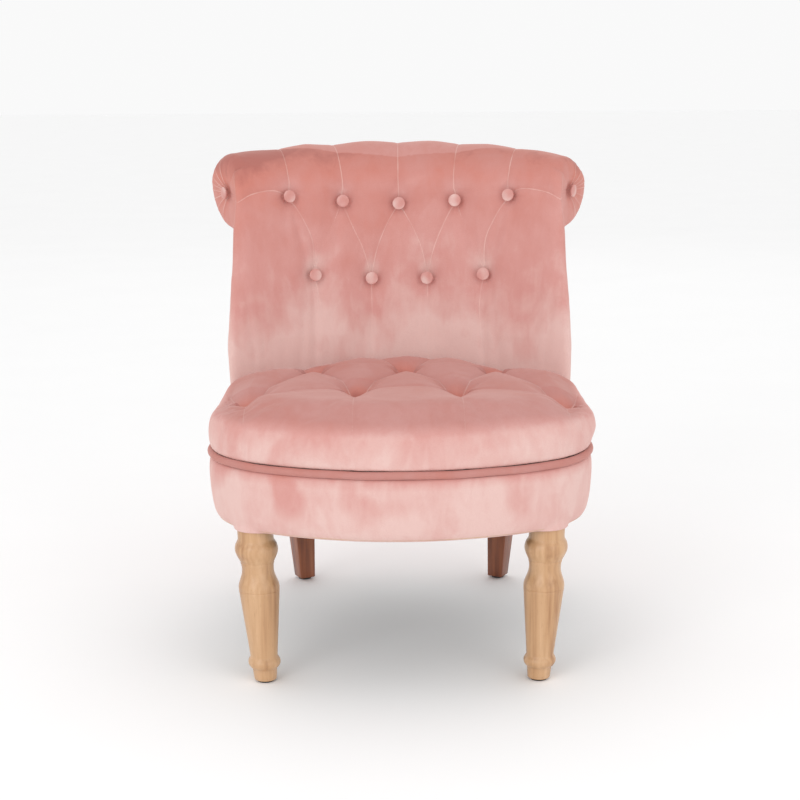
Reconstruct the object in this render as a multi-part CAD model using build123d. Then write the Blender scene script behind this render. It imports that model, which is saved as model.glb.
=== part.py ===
from build123d import *
import os
from math import asin, atan, cos, degrees, radians, sin, sqrt

# Upholstered slipper chair with a scrolled, buttoned back. Millimetres, +Z up,
# the sitter faces -Y, +X is the right-hand side seen from the front.

os.makedirs("parts", exist_ok=True)

GAP = 0.3                # clearance between neighbouring pieces

# Plan of the seat, measured at the piping.
FRONT_Y = -323.0         # middle of the front edge
FRONT_R = 415.0          # radius of the bowed front
CORNER_R = 145.0         # radius of the two front corners
HALF_WIDTH = 280.0       # widest half width of the seat
SIDE_TAPER = 1.4         # angle by which each side draws in towards the back

# Heights above the floor.
BASE_BOTTOM = 224.0
RAIL_BOTTOM = 228.0
RAIL_TOP = 306.0
PIPE_Z = 322.0
PIPE_R = 5.5
CUSHION_TOP = 404.0
CUSHION_EDGE_R = 45.0

# The back is an arc in plan that leans away from the sitter.
BACK_R = 430.0           # plan radius of the face of the inside back
BACK_SLOPE = 0.15        # how far it leans back for each millimetre of height
BACK_FACE_Y = 172.0      # middle of that face at the height below
BACK_FACE_Z = 420.0
BACK_HALF = 270.0
BACK_THICK = 75.0
BACK_FOOT_Z = 338.0      # lower edge of the inside back
SIDE_FOOT_Z = 318.0      # lower edge of the velvet at its sides

# The scroll along the top of the back.
ROLL_Y = 275.0
ROLL_Z = 685.0
ROLL_R = 60.0
ROLL_SWEEP_R = 490.0     # radius its centre line follows
ROLL_TILT = 10.5         # the ends dip forward by this angle
ROLL_HALF_ANGLE = 33.7

FABRIC = 1.5
BUTTON_R = 10.0
BUTTON_H = 6.0
BUTTON_RIM = 1.2
TIE_R = 1.0
UPPER_BUTTONS = [(-176, 664), (-91, 654), (0, 649), (91, 654), (176, 664)]
LOWER_BUTTONS = [(-136, 537), (-45, 529), (45, 529), (136, 537)]
SEAT_TUFTS = [(-224, -118), (-65, -88), (86, -88), (237, -118)]
SEAT_TUFTS = SEAT_TUFTS + [(-136, 60), (9, 55), (148, 60)]

# Legs.
FRONT_FOOT = (197.0, -238.0)
FRONT_LEG_TOP = (208.5, -226.0)
REAR_FOOT = (167.0, 249.0)
REAR_LEG_TOP = (173.0, 163.0)
REAR_LEG_TURN = 29.0
LEG_TOP_Z = 227.6
GLIDE_H = 3.0
BOLT_R = 4.0
BOLT_HOLE_R = 4.3
NUT_R = 6.0

CORNER_ANGLE = degrees(asin((HALF_WIDTH - CORNER_R) / (FRONT_R - CORNER_R)))
FRONT_ARC_Y = FRONT_Y + FRONT_R
CORNER_X = HALF_WIDTH - CORNER_R
CORNER_Y = FRONT_ARC_Y - (FRONT_R - CORNER_R) * cos(radians(CORNER_ANGLE))
LEAN = degrees(atan(BACK_SLOPE))
BACK_AXIS = Vector(
    0,
    BACK_FACE_Y - BACK_R * cos(radians(LEAN)),
    BACK_FACE_Z + BACK_R * sin(radians(LEAN)),
)


def save(name, *pieces):
    """Writes the solids of one node."""
    solids = []
    for piece in pieces:
        solids.extend(piece.solids())
    shape = solids[0] if len(solids) == 1 else Compound(children=solids)
    shape.label = name
    export_step(shape, "parts/" + name + ".step")


def largest(shape):
    return max(shape.solids(), key=lambda one: one.volume)


def cut(shape, *tools):
    """Takes the tools away and keeps the largest solid left."""
    return largest(shape.cut(*tools))


def back_y(x, z, radius):
    """Y of a leaning layer of the back at a given side and height."""
    lean = radians(LEAN)
    local = sqrt(radius**2 - x**2)
    along = (z - BACK_AXIS.Z + local * sin(lean)) / cos(lean)
    return BACK_AXIS.Y + local * cos(lean) + along * sin(lean)


def back_point(x, z, depth):
    """A point in the back, measured square to its leaning face."""
    lean = radians(LEAN)
    local = sqrt(BACK_R**2 - x**2)
    normal = Vector(x, local * cos(lean), -local * sin(lean)) / BACK_R
    return Vector(x, back_y(x, z, BACK_R), z) + normal * depth


def arc_point(centre_x, centre_y, radius, angle):
    """A point of an arc, its angle counted from straight ahead."""
    turn = radians(angle)
    return (centre_x + radius * sin(turn), centre_y - radius * cos(turn), 0)


def corner_end(inset):
    """Where a front corner runs out into the tapering side."""
    x, y, _ = arc_point(CORNER_X, CORNER_Y, CORNER_R - inset, 90 + SIDE_TAPER)
    return x, y


def seat_edges(inset):
    """The bowed front of the seat and its two round corners."""
    big = FRONT_R - inset
    small = CORNER_R - inset
    last = 90 + SIDE_TAPER
    middle = (CORNER_ANGLE + last) / 2
    lines = []
    for side in (1, -1):
        start = arc_point(0, FRONT_ARC_Y, big, side * CORNER_ANGLE)
        through = arc_point(side * CORNER_X, CORNER_Y, small, side * middle)
        end = arc_point(side * CORNER_X, CORNER_Y, small, side * last)
        lines.append(ThreePointArc(start, through, end))
    left = arc_point(0, FRONT_ARC_Y, big, -CORNER_ANGLE)
    right = arc_point(0, FRONT_ARC_Y, big, CORNER_ANGLE)
    lines.append(ThreePointArc(left, (0, FRONT_ARC_Y - big, 0), right))
    return lines


def seat_plan(inset, rear_y, rear_r):
    """The whole plan of a seat layer, closed by an arc along the back."""
    lines = seat_edges(inset)
    x0, y0 = corner_end(inset)
    centre = rear_y - rear_r
    radius = rear_r - inset
    taper = radians(SIDE_TAPER)
    half_b = (y0 - centre) * cos(taper) - x0 * sin(taper)
    rest = x0**2 + (y0 - centre) ** 2 - radius**2
    run = sqrt(half_b**2 - rest) - half_b
    x = x0 - run * sin(taper)
    y = y0 + run * cos(taper)
    for side in (1, -1):
        lines.append(Line((side * x0, y0, 0), (side * x, y, 0)))
    lines.append(ThreePointArc((x, y, 0), (0, centre + radius, 0), (-x, y, 0)))
    return make_face(lines).face()


def slab(face, bottom, top):
    return Solid.extrude(face.moved(Location((0, 0, bottom))), Vector(0, 0, top - bottom))


def back_band(inner, outer, half, bottom, top):
    """A leaning layer of the back between two radii, cut level at both ends."""
    near = sqrt(inner**2 - half**2)
    far = sqrt(outer**2 - half**2)
    lines = [
        ThreePointArc((-half, near), (0, inner), (half, near)),
        Line((half, near), (half, far)),
        ThreePointArc((half, far), (0, outer), (-half, far)),
        Line((-half, far), (-half, near)),
    ]
    along = Vector(0, sin(radians(LEAN)), cos(radians(LEAN)))
    plane = Plane(origin=BACK_AXIS - along * 600, x_dir=(1, 0, 0), z_dir=along)
    face = (plane * make_face(lines)).face()
    body = Solid.extrude(face, along * 1200)
    return largest(body & box(-400, 400, -400, 700, bottom, top))


def box(x0, x1, y0, y1, z0, z1):
    return Solid.make_box(x1 - x0, y1 - y0, z1 - z0).moved(Location((x0, y0, z0)))


def roll_axis():
    """The axis the scroll's centre line turns about."""
    tilt = radians(ROLL_TILT)
    y = ROLL_Y - ROLL_SWEEP_R * cos(tilt)
    z = ROLL_Z - ROLL_SWEEP_R * sin(tilt)
    return Axis((0, y, z), (0, -sin(tilt), cos(tilt)))


def roll_piece(outer, inner, start, end):
    """A ring or rod following the scroll between two angles, 0 in the middle."""
    plane = Plane(origin=(0, ROLL_Y, ROLL_Z), x_dir=(0, 1, 0), z_dir=(1, 0, 0))
    profile = plane * Circle(outer)
    if inner > 0:
        profile = profile - plane * Circle(inner)
    face = profile.faces()[0].rotate(roll_axis(), start)
    return Solid.revolve(face, end - start, roll_axis())


def rod(radius, start, end):
    """A straight round bar between two points."""
    a = Vector(*start)
    b = Vector(*end)
    return Solid.make_cylinder(radius, (b - a).length, Plane(origin=a, z_dir=b - a))


def button(place, direction):
    """A covered button: a shallow dome on a round rim."""
    rise = BUTTON_H - BUTTON_RIM
    ball_r = (BUTTON_R**2 + rise**2) / (2 * rise)
    rim = Solid.make_cylinder(BUTTON_R, BUTTON_H)
    ball = Solid.make_sphere(ball_r).moved(Location((0, 0, BUTTON_H - ball_r)))
    shape = largest(rim & ball)
    return shape.moved(Plane(origin=place, z_dir=direction).location)


# ---------------------------------------------------------------- seat frame

REAR_OUTER = BACK_THICK + BACK_R      # plan radius of the outside of the back
POST_OUTER = REAR_OUTER - 7.0
POST_INNER = POST_OUTER - 28.0
RAIL_OUTSET = 12.0
RAIL_THICK = 22.0
FRONT_JOINT_Y = -150.0
SIDE_JOINT_Y = 102.8
BLOCK_TOP = RAIL_TOP - 15.8
REAR_BOLT_TOP = 264.0


def rail_ring():
    outer = seat_plan(RAIL_OUTSET, 230, REAR_OUTER)
    inner = seat_plan(RAIL_OUTSET + RAIL_THICK, 230, REAR_OUTER)
    return slab(outer, RAIL_BOTTOM, RAIL_TOP) - slab(inner, RAIL_BOTTOM - 1, RAIL_TOP + 1)


def seat_rails():
    ring = rail_ring()
    front = largest(ring & box(-320, 320, -400, FRONT_JOINT_Y, 200, 330))
    save("front_rail", cut(front, *bolt_holes("front")))
    for name, low, high in (("left", -320, 0), ("right", 0, 320)):
        cutter = box(low, high, FRONT_JOINT_Y + GAP, SIDE_JOINT_Y, 200, 330)
        save(name + "_rail", ring & cutter)
    rear = back_band(POST_INNER, POST_OUTER, 262, RAIL_BOTTOM, RAIL_TOP)
    save("rear_rail", cut(rear, *bolt_holes("rear")))


def leg_hole(x, y, radius, low, high):
    return rod(radius, (x, y, low), (x, y, high))


def bolt_holes(which):
    """Bores for the leg bolts and their nuts, on both sides of the chair."""
    tools = []
    for side in (-1, 1):
        if which == "front":
            x, y = FRONT_LEG_TOP
            tools.append(leg_hole(side * x, y, BOLT_HOLE_R, 200, 320))
            tools.append(leg_hole(side * x, y, NUT_R + GAP, RAIL_TOP - 28, 320))
            tools.append(leg_hole(side * x, y, 11 + GAP, BLOCK_TOP, 320))
        else:
            x, y = REAR_LEG_TOP
            tools.append(leg_hole(side * x, y, BOLT_HOLE_R, 200, REAR_BOLT_TOP + 2))
            tools.append(leg_hole(side * x, y, NUT_R + GAP, 200, RAIL_BOTTOM + 16))
    return tools


def corner_block(side, corners, which):
    """A wooden block glued in a corner of the frame, drilled for the leg bolt."""
    points = [(side * x, y) for x, y in corners]
    face = make_face(Polyline(*points, close=True)).face()
    block = slab(face, RAIL_BOTTOM, BLOCK_TOP)
    return cut(block, grown_rails(), *bolt_holes(which))


def corner_blocks():
    front_corners = [(150, -250), (176, -264), (246, -206), (242, -155), (150, -155)]
    rear_corners = [(130, 175), (130, 88), (235, 88), (235, 118), (200, 150)]
    for name, side in (("left", -1), ("right", 1)):
        front = corner_block(side, front_corners, "front")
        save("front_corner_block_" + name, front)
        rear = corner_block(side, rear_corners, "rear")
        save("rear_corner_block_" + name, rear)


def grown_rails():
    """Everything the rails fill, a little oversize, to fit the blocks against."""
    outer = seat_plan(0, 230, REAR_OUTER)
    inner = seat_plan(RAIL_OUTSET + RAIL_THICK + GAP, 230, REAR_OUTER)
    ring = slab(outer, 220, 320) - slab(inner, 219, 321)
    rear = back_band(POST_INNER - GAP, POST_OUTER + 20, 262 + GAP, 220, 320)
    return ring.fuse(rear)


# ---------------------------------------------------------------- back frame

LUMBAR_LOW = 338.0
LUMBAR_HIGH = 378.0
POST_IN = 228.0
POST_OUT = 256.0
POST_TOP = 600.0
DISC_R = 51.0
DISC_THICK = 18.0
DISC_ANGLE = 29.6


def back_frame():
    for name, side in (("left", -1), ("right", 1)):
        band = back_band(POST_INNER, POST_OUTER, 262, RAIL_TOP + GAP, POST_TOP)
        low, high = sorted((side * POST_IN, side * POST_OUT))
        save("back_post_" + name, band & box(low, high, 0, 400, 300, 700))
    half = POST_IN - GAP
    lumbar = back_band(POST_INNER, POST_OUTER, half, LUMBAR_LOW, LUMBAR_HIGH)
    save("lumbar_rail", lumbar)
    top = back_band(POST_INNER, POST_OUTER, half, POST_TOP - 40, POST_TOP)
    save("back_top_rail", top)


def scroll_frame():
    half = degrees(DISC_THICK / 2 / ROLL_SWEEP_R)
    clear = degrees(GAP / ROLL_SWEEP_R)
    floor_cut = box(-320, 320, 0, 400, 500, POST_TOP + GAP)
    for name, side in (("left", 1), ("right", -1)):
        middle = side * DISC_ANGLE
        disc = roll_piece(DISC_R, 0, middle - half, middle + half)
        save("scroll_end_disc_" + name, disc - floor_cut)
    inner = DISC_ANGLE - half - clear
    save("scroll_core", roll_piece(36, 26, -inner, inner))


# ------------------------------------------------------------ seat springing

SPRING_X = [-168, -84, 0, 84, 168]
WIRE_R = 1.8
SPRING_Z = RAIL_TOP + GAP + 1.2 + GAP + WIRE_R + 0.6
ROW_PITCH = 22.0
ROW_HALF = 20.0
CLIP_W = 26.0
CLIP_D = 12.0


def front_inner_y(x):
    radius = FRONT_R - RAIL_OUTSET - RAIL_THICK
    return FRONT_ARC_Y - sqrt(radius**2 - x**2)


def rear_inner_y(x):
    return back_y(x, RAIL_TOP, POST_INNER)


def spring_rows(x):
    """Y of the first and last cross wires, both over the rails."""
    first = front_inner_y(abs(x) + ROW_HALF + 6) - 8
    last = rear_inner_y(abs(x) + ROW_HALF + 6) + 9
    count = round((last - first) / ROW_PITCH)
    return first, (last - first) / count, count


def zigzag_spring(x):
    first, pitch, count = spring_rows(x)
    lines = []
    for row in range(count + 1):
        y = first + row * pitch
        side = 1 if row % 2 == 0 else -1
        lines.append(Line((x - side * ROW_HALF, y), (x + side * ROW_HALF, y)))
        if row < count:
            start = (x + side * ROW_HALF, y)
            top = (x + side * (ROW_HALF + pitch / 2), y + pitch / 2)
            end = (x + side * ROW_HALF, y + pitch)
            lines.append(ThreePointArc(start, top, end))
    path = Wire(lines).moved(Location((0, 0, SPRING_Z)))
    start = Vector(x - ROW_HALF, first, SPRING_Z)
    ring = Plane(origin=start, z_dir=(1, 0, 0)) * Circle(WIRE_R)
    return sweep(ring, path=path)


def spring_clip(x, y, outward):
    """A folded steel clip: two plates and a web behind the wire."""
    low = RAIL_TOP + GAP
    plates = box(x - CLIP_W / 2, x + CLIP_W / 2, y - CLIP_D / 2, y + CLIP_D / 2, low, low + 8)
    opening = box(x - 20, x + 20, y - CLIP_D / 2 - 1, y + CLIP_D / 2 - 1.2, low + 1.2, low + 6.8)
    if outward < 0:
        opening = box(x - 20, x + 20, y - CLIP_D / 2 + 1.2, y + CLIP_D / 2 + 1, low + 1.2, low + 6.8)
    return plates - opening


def seat_springing():
    springs = [zigzag_spring(x) for x in SPRING_X]
    save("zigzag_springs", *springs)
    clips = []
    for x in SPRING_X:
        first, pitch, count = spring_rows(x)
        clips.append(spring_clip(x, first, -1))
        clips.append(spring_clip(x, first + pitch * count, 1))
    save("spring_clips", *clips)


# ---------------------------------------------------------------- seat layers

FELT_LOW = RAIL_TOP + 8.8
FELT_HIGH = FELT_LOW + 3.0
FOAM_LOW = FELT_HIGH + GAP
CUSHION_REAR_Y = 151.0
CUSHION_REAR_R = 428.0


def cushion_body(inset, drop, low):
    """A domed cushion shape; drop is how far its top lies under the cover."""
    plan = seat_plan(inset, CUSHION_REAR_Y, CUSHION_REAR_R)
    body = slab(plan, low, CUSHION_TOP - drop)
    top = body.edges().group_by(Axis.Z)[-1].sort_by(Axis.Y)[:-1]
    return fillet(top, CUSHION_EDGE_R - drop)


def tuft_tools(radius, low, high):
    return [leg_hole(x, y, radius, low, high) for x, y in SEAT_TUFTS]


def seat_layers():
    felt = slab(seat_plan(16, 186, BACK_R + 60), FELT_LOW, FELT_HIGH)
    save("spring_felt", felt)
    foam = cushion_body(6.4, 8.4, FOAM_LOW)
    foam = cut(foam, *tuft_tools(BUTTON_R + 0.5, FOAM_LOW - 1, FOAM_LOW + 3))
    foam = cut(foam, *tuft_tools(TIE_R + 0.4, FOAM_LOW - 1, CUSHION_TOP))
    save("seat_foam", foam)
    wadding = cushion_body(-1.2, 1.8, PIPE_Z + 6) - cushion_body(6.1, 8.1, PIPE_Z)
    save("seat_wadding", wadding)
    cover = cut(cushion_body(-3.0, 0, PIPE_Z + 6), cushion_body(-1.4, 1.6, PIPE_Z))
    save("seat_cover", cover)
    toggles = tuft_tools(BUTTON_R, FOAM_LOW + GAP, FOAM_LOW + 2.3)
    save("seat_tuft_toggles", *toggles)
    ties = tuft_tools(TIE_R, FOAM_LOW + 2.6, CUSHION_TOP - 30)
    save("seat_tuft_ties", *ties)


PIPE_END_Y = 60.0


def seat_piping():
    """The covered cord round the front and sides of the seat."""
    lines = seat_edges(0)
    x, y = corner_end(0)
    run = PIPE_END_Y - y
    x_end = x - run * sin(radians(SIDE_TAPER)) / cos(radians(SIDE_TAPER))
    for side in (1, -1):
        lines.append(Line((side * x, y, 0), (side * x_end, PIPE_END_Y, 0)))
    path = Wire(lines).moved(Location((0, 0, PIPE_Z)))
    first = path.position_at(0)
    ring = Plane(origin=first, z_dir=path.tangent_at(0)) * Circle(PIPE_R)
    save("seat_piping", sweep(ring, path=path))


# ---------------------------------------------------------------- base covers

BAND_TOP = PIPE_Z - PIPE_R - 0.5


def border_band():
    """The velvet border round the front and sides of the base."""
    back_cut = back_band(REAR_OUTER - FABRIC - GAP, 640, 320, 200, 340)
    outer = slab(seat_plan(1.5, 240, REAR_OUTER), BASE_BOTTOM, BAND_TOP)
    low_edges = outer.edges().group_by(Axis.Z)[0]
    outer = fillet(low_edges, 9)
    inner = slab(seat_plan(3.0, 240, REAR_OUTER), BASE_BOTTOM + 1.2, BAND_TOP + 5)
    low_edges = inner.edges().group_by(Axis.Z)[0]
    inner = fillet(low_edges, 7.6)
    opening = slab(seat_plan(14, 240, REAR_OUTER), 200, 260)
    shell = cut(outer, inner, opening, back_cut)
    x, y = FRONT_LEG_TOP
    legs_clear = [leg_hole(side * x, y, 26.6, 200, 232) for side in (-1, 1)]
    save("base_border", cut(shell, *legs_clear))
    wrap_out = slab(seat_plan(3.4, 240, REAR_OUTER), RAIL_BOTTOM + 8, BAND_TOP - 2)
    wrap_in = slab(seat_plan(RAIL_OUTSET - GAP, 240, REAR_OUTER), 200, 330)
    rear_part = box(-320, 320, SIDE_JOINT_Y - 1, 400, 200, 340)
    save("base_wadding", cut(wrap_out, wrap_in, rear_part))


def dust_cover():
    """Black woven cloth stapled under the frame, cut out round the legs."""
    plan = seat_plan(16, 226, REAR_OUTER)
    cloth = slab(plan, BASE_BOTTOM + 2.4, BASE_BOTTOM + 3.2)
    holes = []
    for (x, y), radius in ((FRONT_LEG_TOP, 28), (REAR_LEG_TOP, 35)):
        holes.extend(leg_hole(side * x, y, radius, 200, 240) for side in (-1, 1))
    save("dust_cover", cut(cloth, *holes))


# ---------------------------------------------------------------- back layers

COVER_BACK = BACK_R + FABRIC
WAD_IN = COVER_BACK + GAP
WAD_OUT = WAD_IN + 6.0
FOAM_IN = WAD_OUT + GAP
FOAM_OUT = POST_INNER - 3.0
PAD_TOP = 672.0
CORNER_ROUND = 34.0
END_COVER_R = 55.4


def tie_holes(shape, places):
    """Clears the twine of each back button."""
    tools = []
    for x, z in places:
        tools.append(rod(TIE_R + 0.4, back_point(x, z, -12), back_point(x, z, 60)))
    return cut(shape, *tools)


def round_top(half, bottom, top):
    """What is kept of a back panel so that its top corners are rounded."""
    room = box(-half - 1, half + 1, -100, 420, bottom, top)
    corners = room.edges().filter_by(Axis.Y).group_by(Axis.Z)[-1]
    return fillet(corners, CORNER_ROUND)


def inside_back():
    """The buttoned velvet, its sides turned round the edges of the back."""
    front = back_band(BACK_R, COVER_BACK, BACK_HALF, BACK_FOOT_Z, PAD_TOP)
    front = largest(front & round_top(BACK_HALF, 300, PAD_TOP))
    outer = REAR_OUTER - FABRIC - GAP
    sides = back_band(BACK_R, outer, BACK_HALF, SIDE_FOOT_Z, POST_TOP)
    middle = BACK_HALF - FABRIC
    sides = sides - box(-middle, middle, -100, 400, 300, 700)
    cover = front.fuse(*sides.solids())
    save("inside_back_cover", tie_holes(cover, UPPER_BUTTONS + LOWER_BUTTONS))


def back_padding():
    half = BACK_HALF - FABRIC - GAP
    wadding = back_band(WAD_IN, WAD_OUT, half, BACK_FOOT_Z, PAD_TOP - 8)
    wadding = largest(wadding & round_top(half, 300, PAD_TOP - 8))
    save("back_wadding", tie_holes(wadding, UPPER_BUTTONS + LOWER_BUTTONS))
    rooms = [roll_piece(52, 0, -ROLL_HALF_ANGLE, ROLL_HALF_ANGLE)]
    for side in (-1, 1):
        low, high = sorted((side * (ROLL_HALF_ANGLE - 0.4), side * (ROLL_HALF_ANGLE + 5)))
        rooms.append(roll_piece(END_COVER_R + GAP, 0, low, high))
    foam = back_band(FOAM_IN, FOAM_OUT, half, BACK_FOOT_Z, PAD_TOP - 8)
    foam = cut(largest(foam & round_top(half, 300, PAD_TOP - 8)), *rooms)
    save("back_foam", tie_holes(foam, UPPER_BUTTONS + LOWER_BUTTONS))


def back_webbing():
    """Elastic straps across the back, from post to post."""
    straps = []
    for low in (400, 455, 510):
        straps.append(back_band(POST_INNER - 1.5, POST_INNER - GAP, 256, low, low + 40))
    save("back_webbing", *[tie_holes(one, LOWER_BUTTONS) for one in straps])


def scroll_padding():
    half = degrees(DISC_THICK / 2 / ROLL_SWEEP_R)
    clear = degrees(GAP / ROLL_SWEEP_R)
    inner = DISC_ANGLE - half - clear
    lower_front = back_band(WAD_IN - 3, POST_OUTER + GAP, 300, 560, POST_TOP + GAP)
    foam = cut(roll_piece(51.6, 36 + GAP, -inner, inner), lower_front)
    save("scroll_foam", tie_holes(foam, UPPER_BUTTONS))
    pad = DISC_ANGLE + half + clear
    end = ROLL_HALF_ANGLE - degrees(2.2 / ROLL_SWEEP_R)
    for name, side in (("left", 1), ("right", -1)):
        low, high = sorted((side * pad, side * end))
        save("scroll_end_pad_" + name, roll_piece(51.6, 0, low, high))


def scroll_cover():
    """Wadding and velvet carried over the scroll and tucked in behind it."""
    front_cut = back_band(BACK_R - 20, FOAM_OUT + GAP, 300, 560, PAD_TOP + GAP)
    under_cut = back_band(BACK_R - 20, REAR_OUTER + 2, 300, 500, POST_TOP + 32)
    half = ROLL_HALF_ANGLE
    velvet = roll_piece(ROLL_R, ROLL_R - FABRIC, -half, half)
    save("scroll_cover", cut(velvet, front_cut, under_cut))
    wad_half = half - degrees(2.2 / ROLL_SWEEP_R)
    wadding = roll_piece(ROLL_R - FABRIC - GAP, 52, -wad_half, wad_half)
    save("scroll_wadding", cut(wadding, front_cut, under_cut))


def scroll_ends():
    """The gathered velvet ends and the button that holds the pleats."""
    thick = degrees(FABRIC / ROLL_SWEEP_R)
    clear = degrees(GAP / ROLL_SWEEP_R)
    buttons = []
    for name, side in (("left", 1), ("right", -1)):
        outer = ROLL_HALF_ANGLE - clear / 4
        low, high = sorted((side * (outer - thick), side * outer))
        end = roll_piece(END_COVER_R, 0, low, high)
        save("scroll_end_cover_" + name, end)
        plane = Plane(origin=(0, ROLL_Y, ROLL_Z), x_dir=(0, 1, 0), z_dir=(1, 0, 0))
        face = (plane * Circle(1)).faces()[0].rotate(roll_axis(), side * outer)
        direction = face.normal_at() * (-side)
        buttons.append(button(face.center() + direction * GAP, direction))
    save("scroll_end_buttons", *buttons)


def outside_back():
    low = RAIL_BOTTOM + 0.2
    cover = back_band(REAR_OUTER - FABRIC, REAR_OUTER, BACK_HALF, low, POST_TOP + 20)
    room = roll_piece(ROLL_R + GAP, 0, -ROLL_HALF_ANGLE, ROLL_HALF_ANGLE)
    save("outside_back_cover", cut(cover, room))
    lining = back_band(POST_OUTER + GAP, REAR_OUTER - FABRIC - GAP, 262, 300, POST_TOP - 12)
    save("outside_back_wadding", lining)
    strip = back_band(POST_OUTER + GAP, POST_OUTER + 2.3, 226, POST_TOP - 11, POST_TOP - 1)
    save("tack_strip", strip)


def back_buttons():
    for name, places in (("upper", UPPER_BUTTONS), ("lower", LOWER_BUTTONS)):
        group = []
        ties = []
        for x, z in places:
            near = back_point(x, z, -GAP)
            away = near - back_point(x, z, 10)
            group.append(button(near, away))
            reach = 33 if name == "upper" else FOAM_OUT - BACK_R + 4
            ties.append(rod(TIE_R, back_point(x, z, 0.1), back_point(x, z, reach)))
        save("back_buttons_" + name, *group)
        save("back_button_ties_" + name, *ties)


# ---------------------------------------------------------------------- legs

LEG_PROFILE = [
    (0, 15.2), (2, 16.0), (19, 17.6), (20.5, 19.0), (24, 22.0), (28.5, 23.2),
    (33, 22.0), (36.5, 19.8), (38.5, 19.6), (133, 28.9), (139, 29.3),
    (145, 28.4), (155, 24.6), (164, 22.8), (171, 23.2), (178, 25.0),
    (184, 27.8), (190, 30.2), (196, 30.8), (202, 29.4), (207, 26.4), (211, 25.6),
]


def front_leg(side):
    """A turned leg, leaning a little, cut level at the foot and the top."""
    foot = Vector(side * FRONT_FOOT[0], FRONT_FOOT[1], 0)
    top = Vector(side * FRONT_LEG_TOP[0], FRONT_LEG_TOP[1], LEG_TOP_Z)
    axis = top - foot
    points = [(r, z) for z, r in LEG_PROFILE]
    outline = Polyline((0, -8), (points[0][0] - 0.4, -8), points[0])
    curve = Polyline(*points)
    close = Polyline(points[-1], (25.6, axis.length + 8), (0, axis.length + 8), (0, -8))
    face = make_face(outline.edges() + curve.edges() + close.edges())
    turned = revolve(Plane.XZ * face, Axis.Z, 360).solid()
    placed = Plane(origin=foot, z_dir=axis).location * turned
    room = box(-400, 400, -400, 400, GLIDE_H, LEG_TOP_Z)
    x, y = FRONT_LEG_TOP
    return cut(largest(placed & room), leg_hole(side * x, y, BOLT_HOLE_R, 170, 300))


def rear_leg(side):
    """A square leg raked backwards and tapering to the foot."""
    sections = []
    for (x, y), z, size in ((REAR_FOOT, GLIDE_H, 27.0), (REAR_LEG_TOP, LEG_TOP_Z, 45.0)):
        place = Location((side * x, y, z), (0, 0, -side * REAR_LEG_TURN))
        sections.append((place * Rectangle(size, size)).faces()[0])
    body = loft(sections)
    x, y = REAR_LEG_TOP
    return cut(body.solid(), leg_hole(side * x, y, BOLT_HOLE_R, 195, 300))


def legs():
    for name, side in (("left", -1), ("right", 1)):
        save("front_leg_" + name, front_leg(side))
        save("rear_leg_" + name, rear_leg(side))


def leg_bolts():
    """Hanger bolts standing in the legs, with the nuts they screw into."""
    bolts = []
    nuts = []
    inserts = []
    for side in (-1, 1):
        x, y = FRONT_LEG_TOP
        bolts.append(leg_hole(side * x, y, BOLT_R, 180, RAIL_TOP - 18))
        sleeve = leg_hole(side * x, y, NUT_R, RAIL_TOP - 27.5, BLOCK_TOP + GAP)
        flange = leg_hole(side * x, y, 11, BLOCK_TOP + GAP, BLOCK_TOP + 1.8)
        nut = sleeve.fuse(flange)
        nuts.append(cut(nut, leg_hole(side * x, y, BOLT_HOLE_R, 200, 320)))
        x, y = REAR_LEG_TOP
        bolts.append(leg_hole(side * x, y, BOLT_R, 205, REAR_BOLT_TOP))
        sleeve = leg_hole(side * x, y, NUT_R, RAIL_BOTTOM + GAP, RAIL_BOTTOM + 15)
        inserts.append(cut(sleeve, leg_hole(side * x, y, BOLT_HOLE_R, 200, 320)))
    save("leg_bolts", *bolts)
    save("front_leg_tee_nuts", *nuts)
    save("rear_leg_inserts", *inserts)


def glides():
    pads = []
    for (x, y), radius in ((FRONT_FOOT, 12.0), (REAR_FOOT, 10.5)):
        for side in (-1, 1):
            pads.append(leg_hole(side * x, y, radius, 0, GLIDE_H - 0.1))
    save("foot_glides", *pads)


seat_rails()
corner_blocks()
back_frame()
scroll_frame()
seat_springing()
seat_layers()
seat_piping()
border_band()
dust_cover()
inside_back()
back_padding()
back_webbing()
scroll_padding()
scroll_cover()
scroll_ends()
outside_back()
back_buttons()
legs()
leg_bolts()
glides()
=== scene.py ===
import math
import bpy
import numpy as np
from mathutils import Matrix, Vector, noise


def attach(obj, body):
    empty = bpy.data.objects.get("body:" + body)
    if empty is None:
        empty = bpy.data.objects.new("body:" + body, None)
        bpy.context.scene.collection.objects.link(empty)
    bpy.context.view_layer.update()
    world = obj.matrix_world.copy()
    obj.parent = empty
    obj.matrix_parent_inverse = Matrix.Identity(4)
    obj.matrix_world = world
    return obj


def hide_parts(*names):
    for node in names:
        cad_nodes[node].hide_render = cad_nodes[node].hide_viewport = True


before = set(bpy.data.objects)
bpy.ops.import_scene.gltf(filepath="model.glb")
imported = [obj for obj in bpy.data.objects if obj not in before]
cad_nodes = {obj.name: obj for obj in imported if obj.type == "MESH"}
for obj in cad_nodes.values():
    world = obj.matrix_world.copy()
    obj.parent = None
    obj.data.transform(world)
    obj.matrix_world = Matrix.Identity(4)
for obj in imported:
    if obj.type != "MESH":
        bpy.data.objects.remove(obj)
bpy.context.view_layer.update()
bpy.ops.object.select_all(action="DESELECT")
bpy.context.scene.view_settings.view_transform = "Standard"


# ---------------------------------------------------------------- hardwood frame
# Beech rails, posts and blocks, glued and screwed, that carry the springs and
# the padding. They are planed but unfinished, because the covers hide them.


def node(tree, kind, inputs=None, **settings):
    made = tree.nodes.new(kind)
    for name, value in settings.items():
        setattr(made, name, value)
    for name, value in (inputs or {}).items():
        if isinstance(value, bpy.types.NodeSocket):
            tree.links.new(value, made.inputs[name])
        else:
            made.inputs[name].default_value = value
    return made


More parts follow.
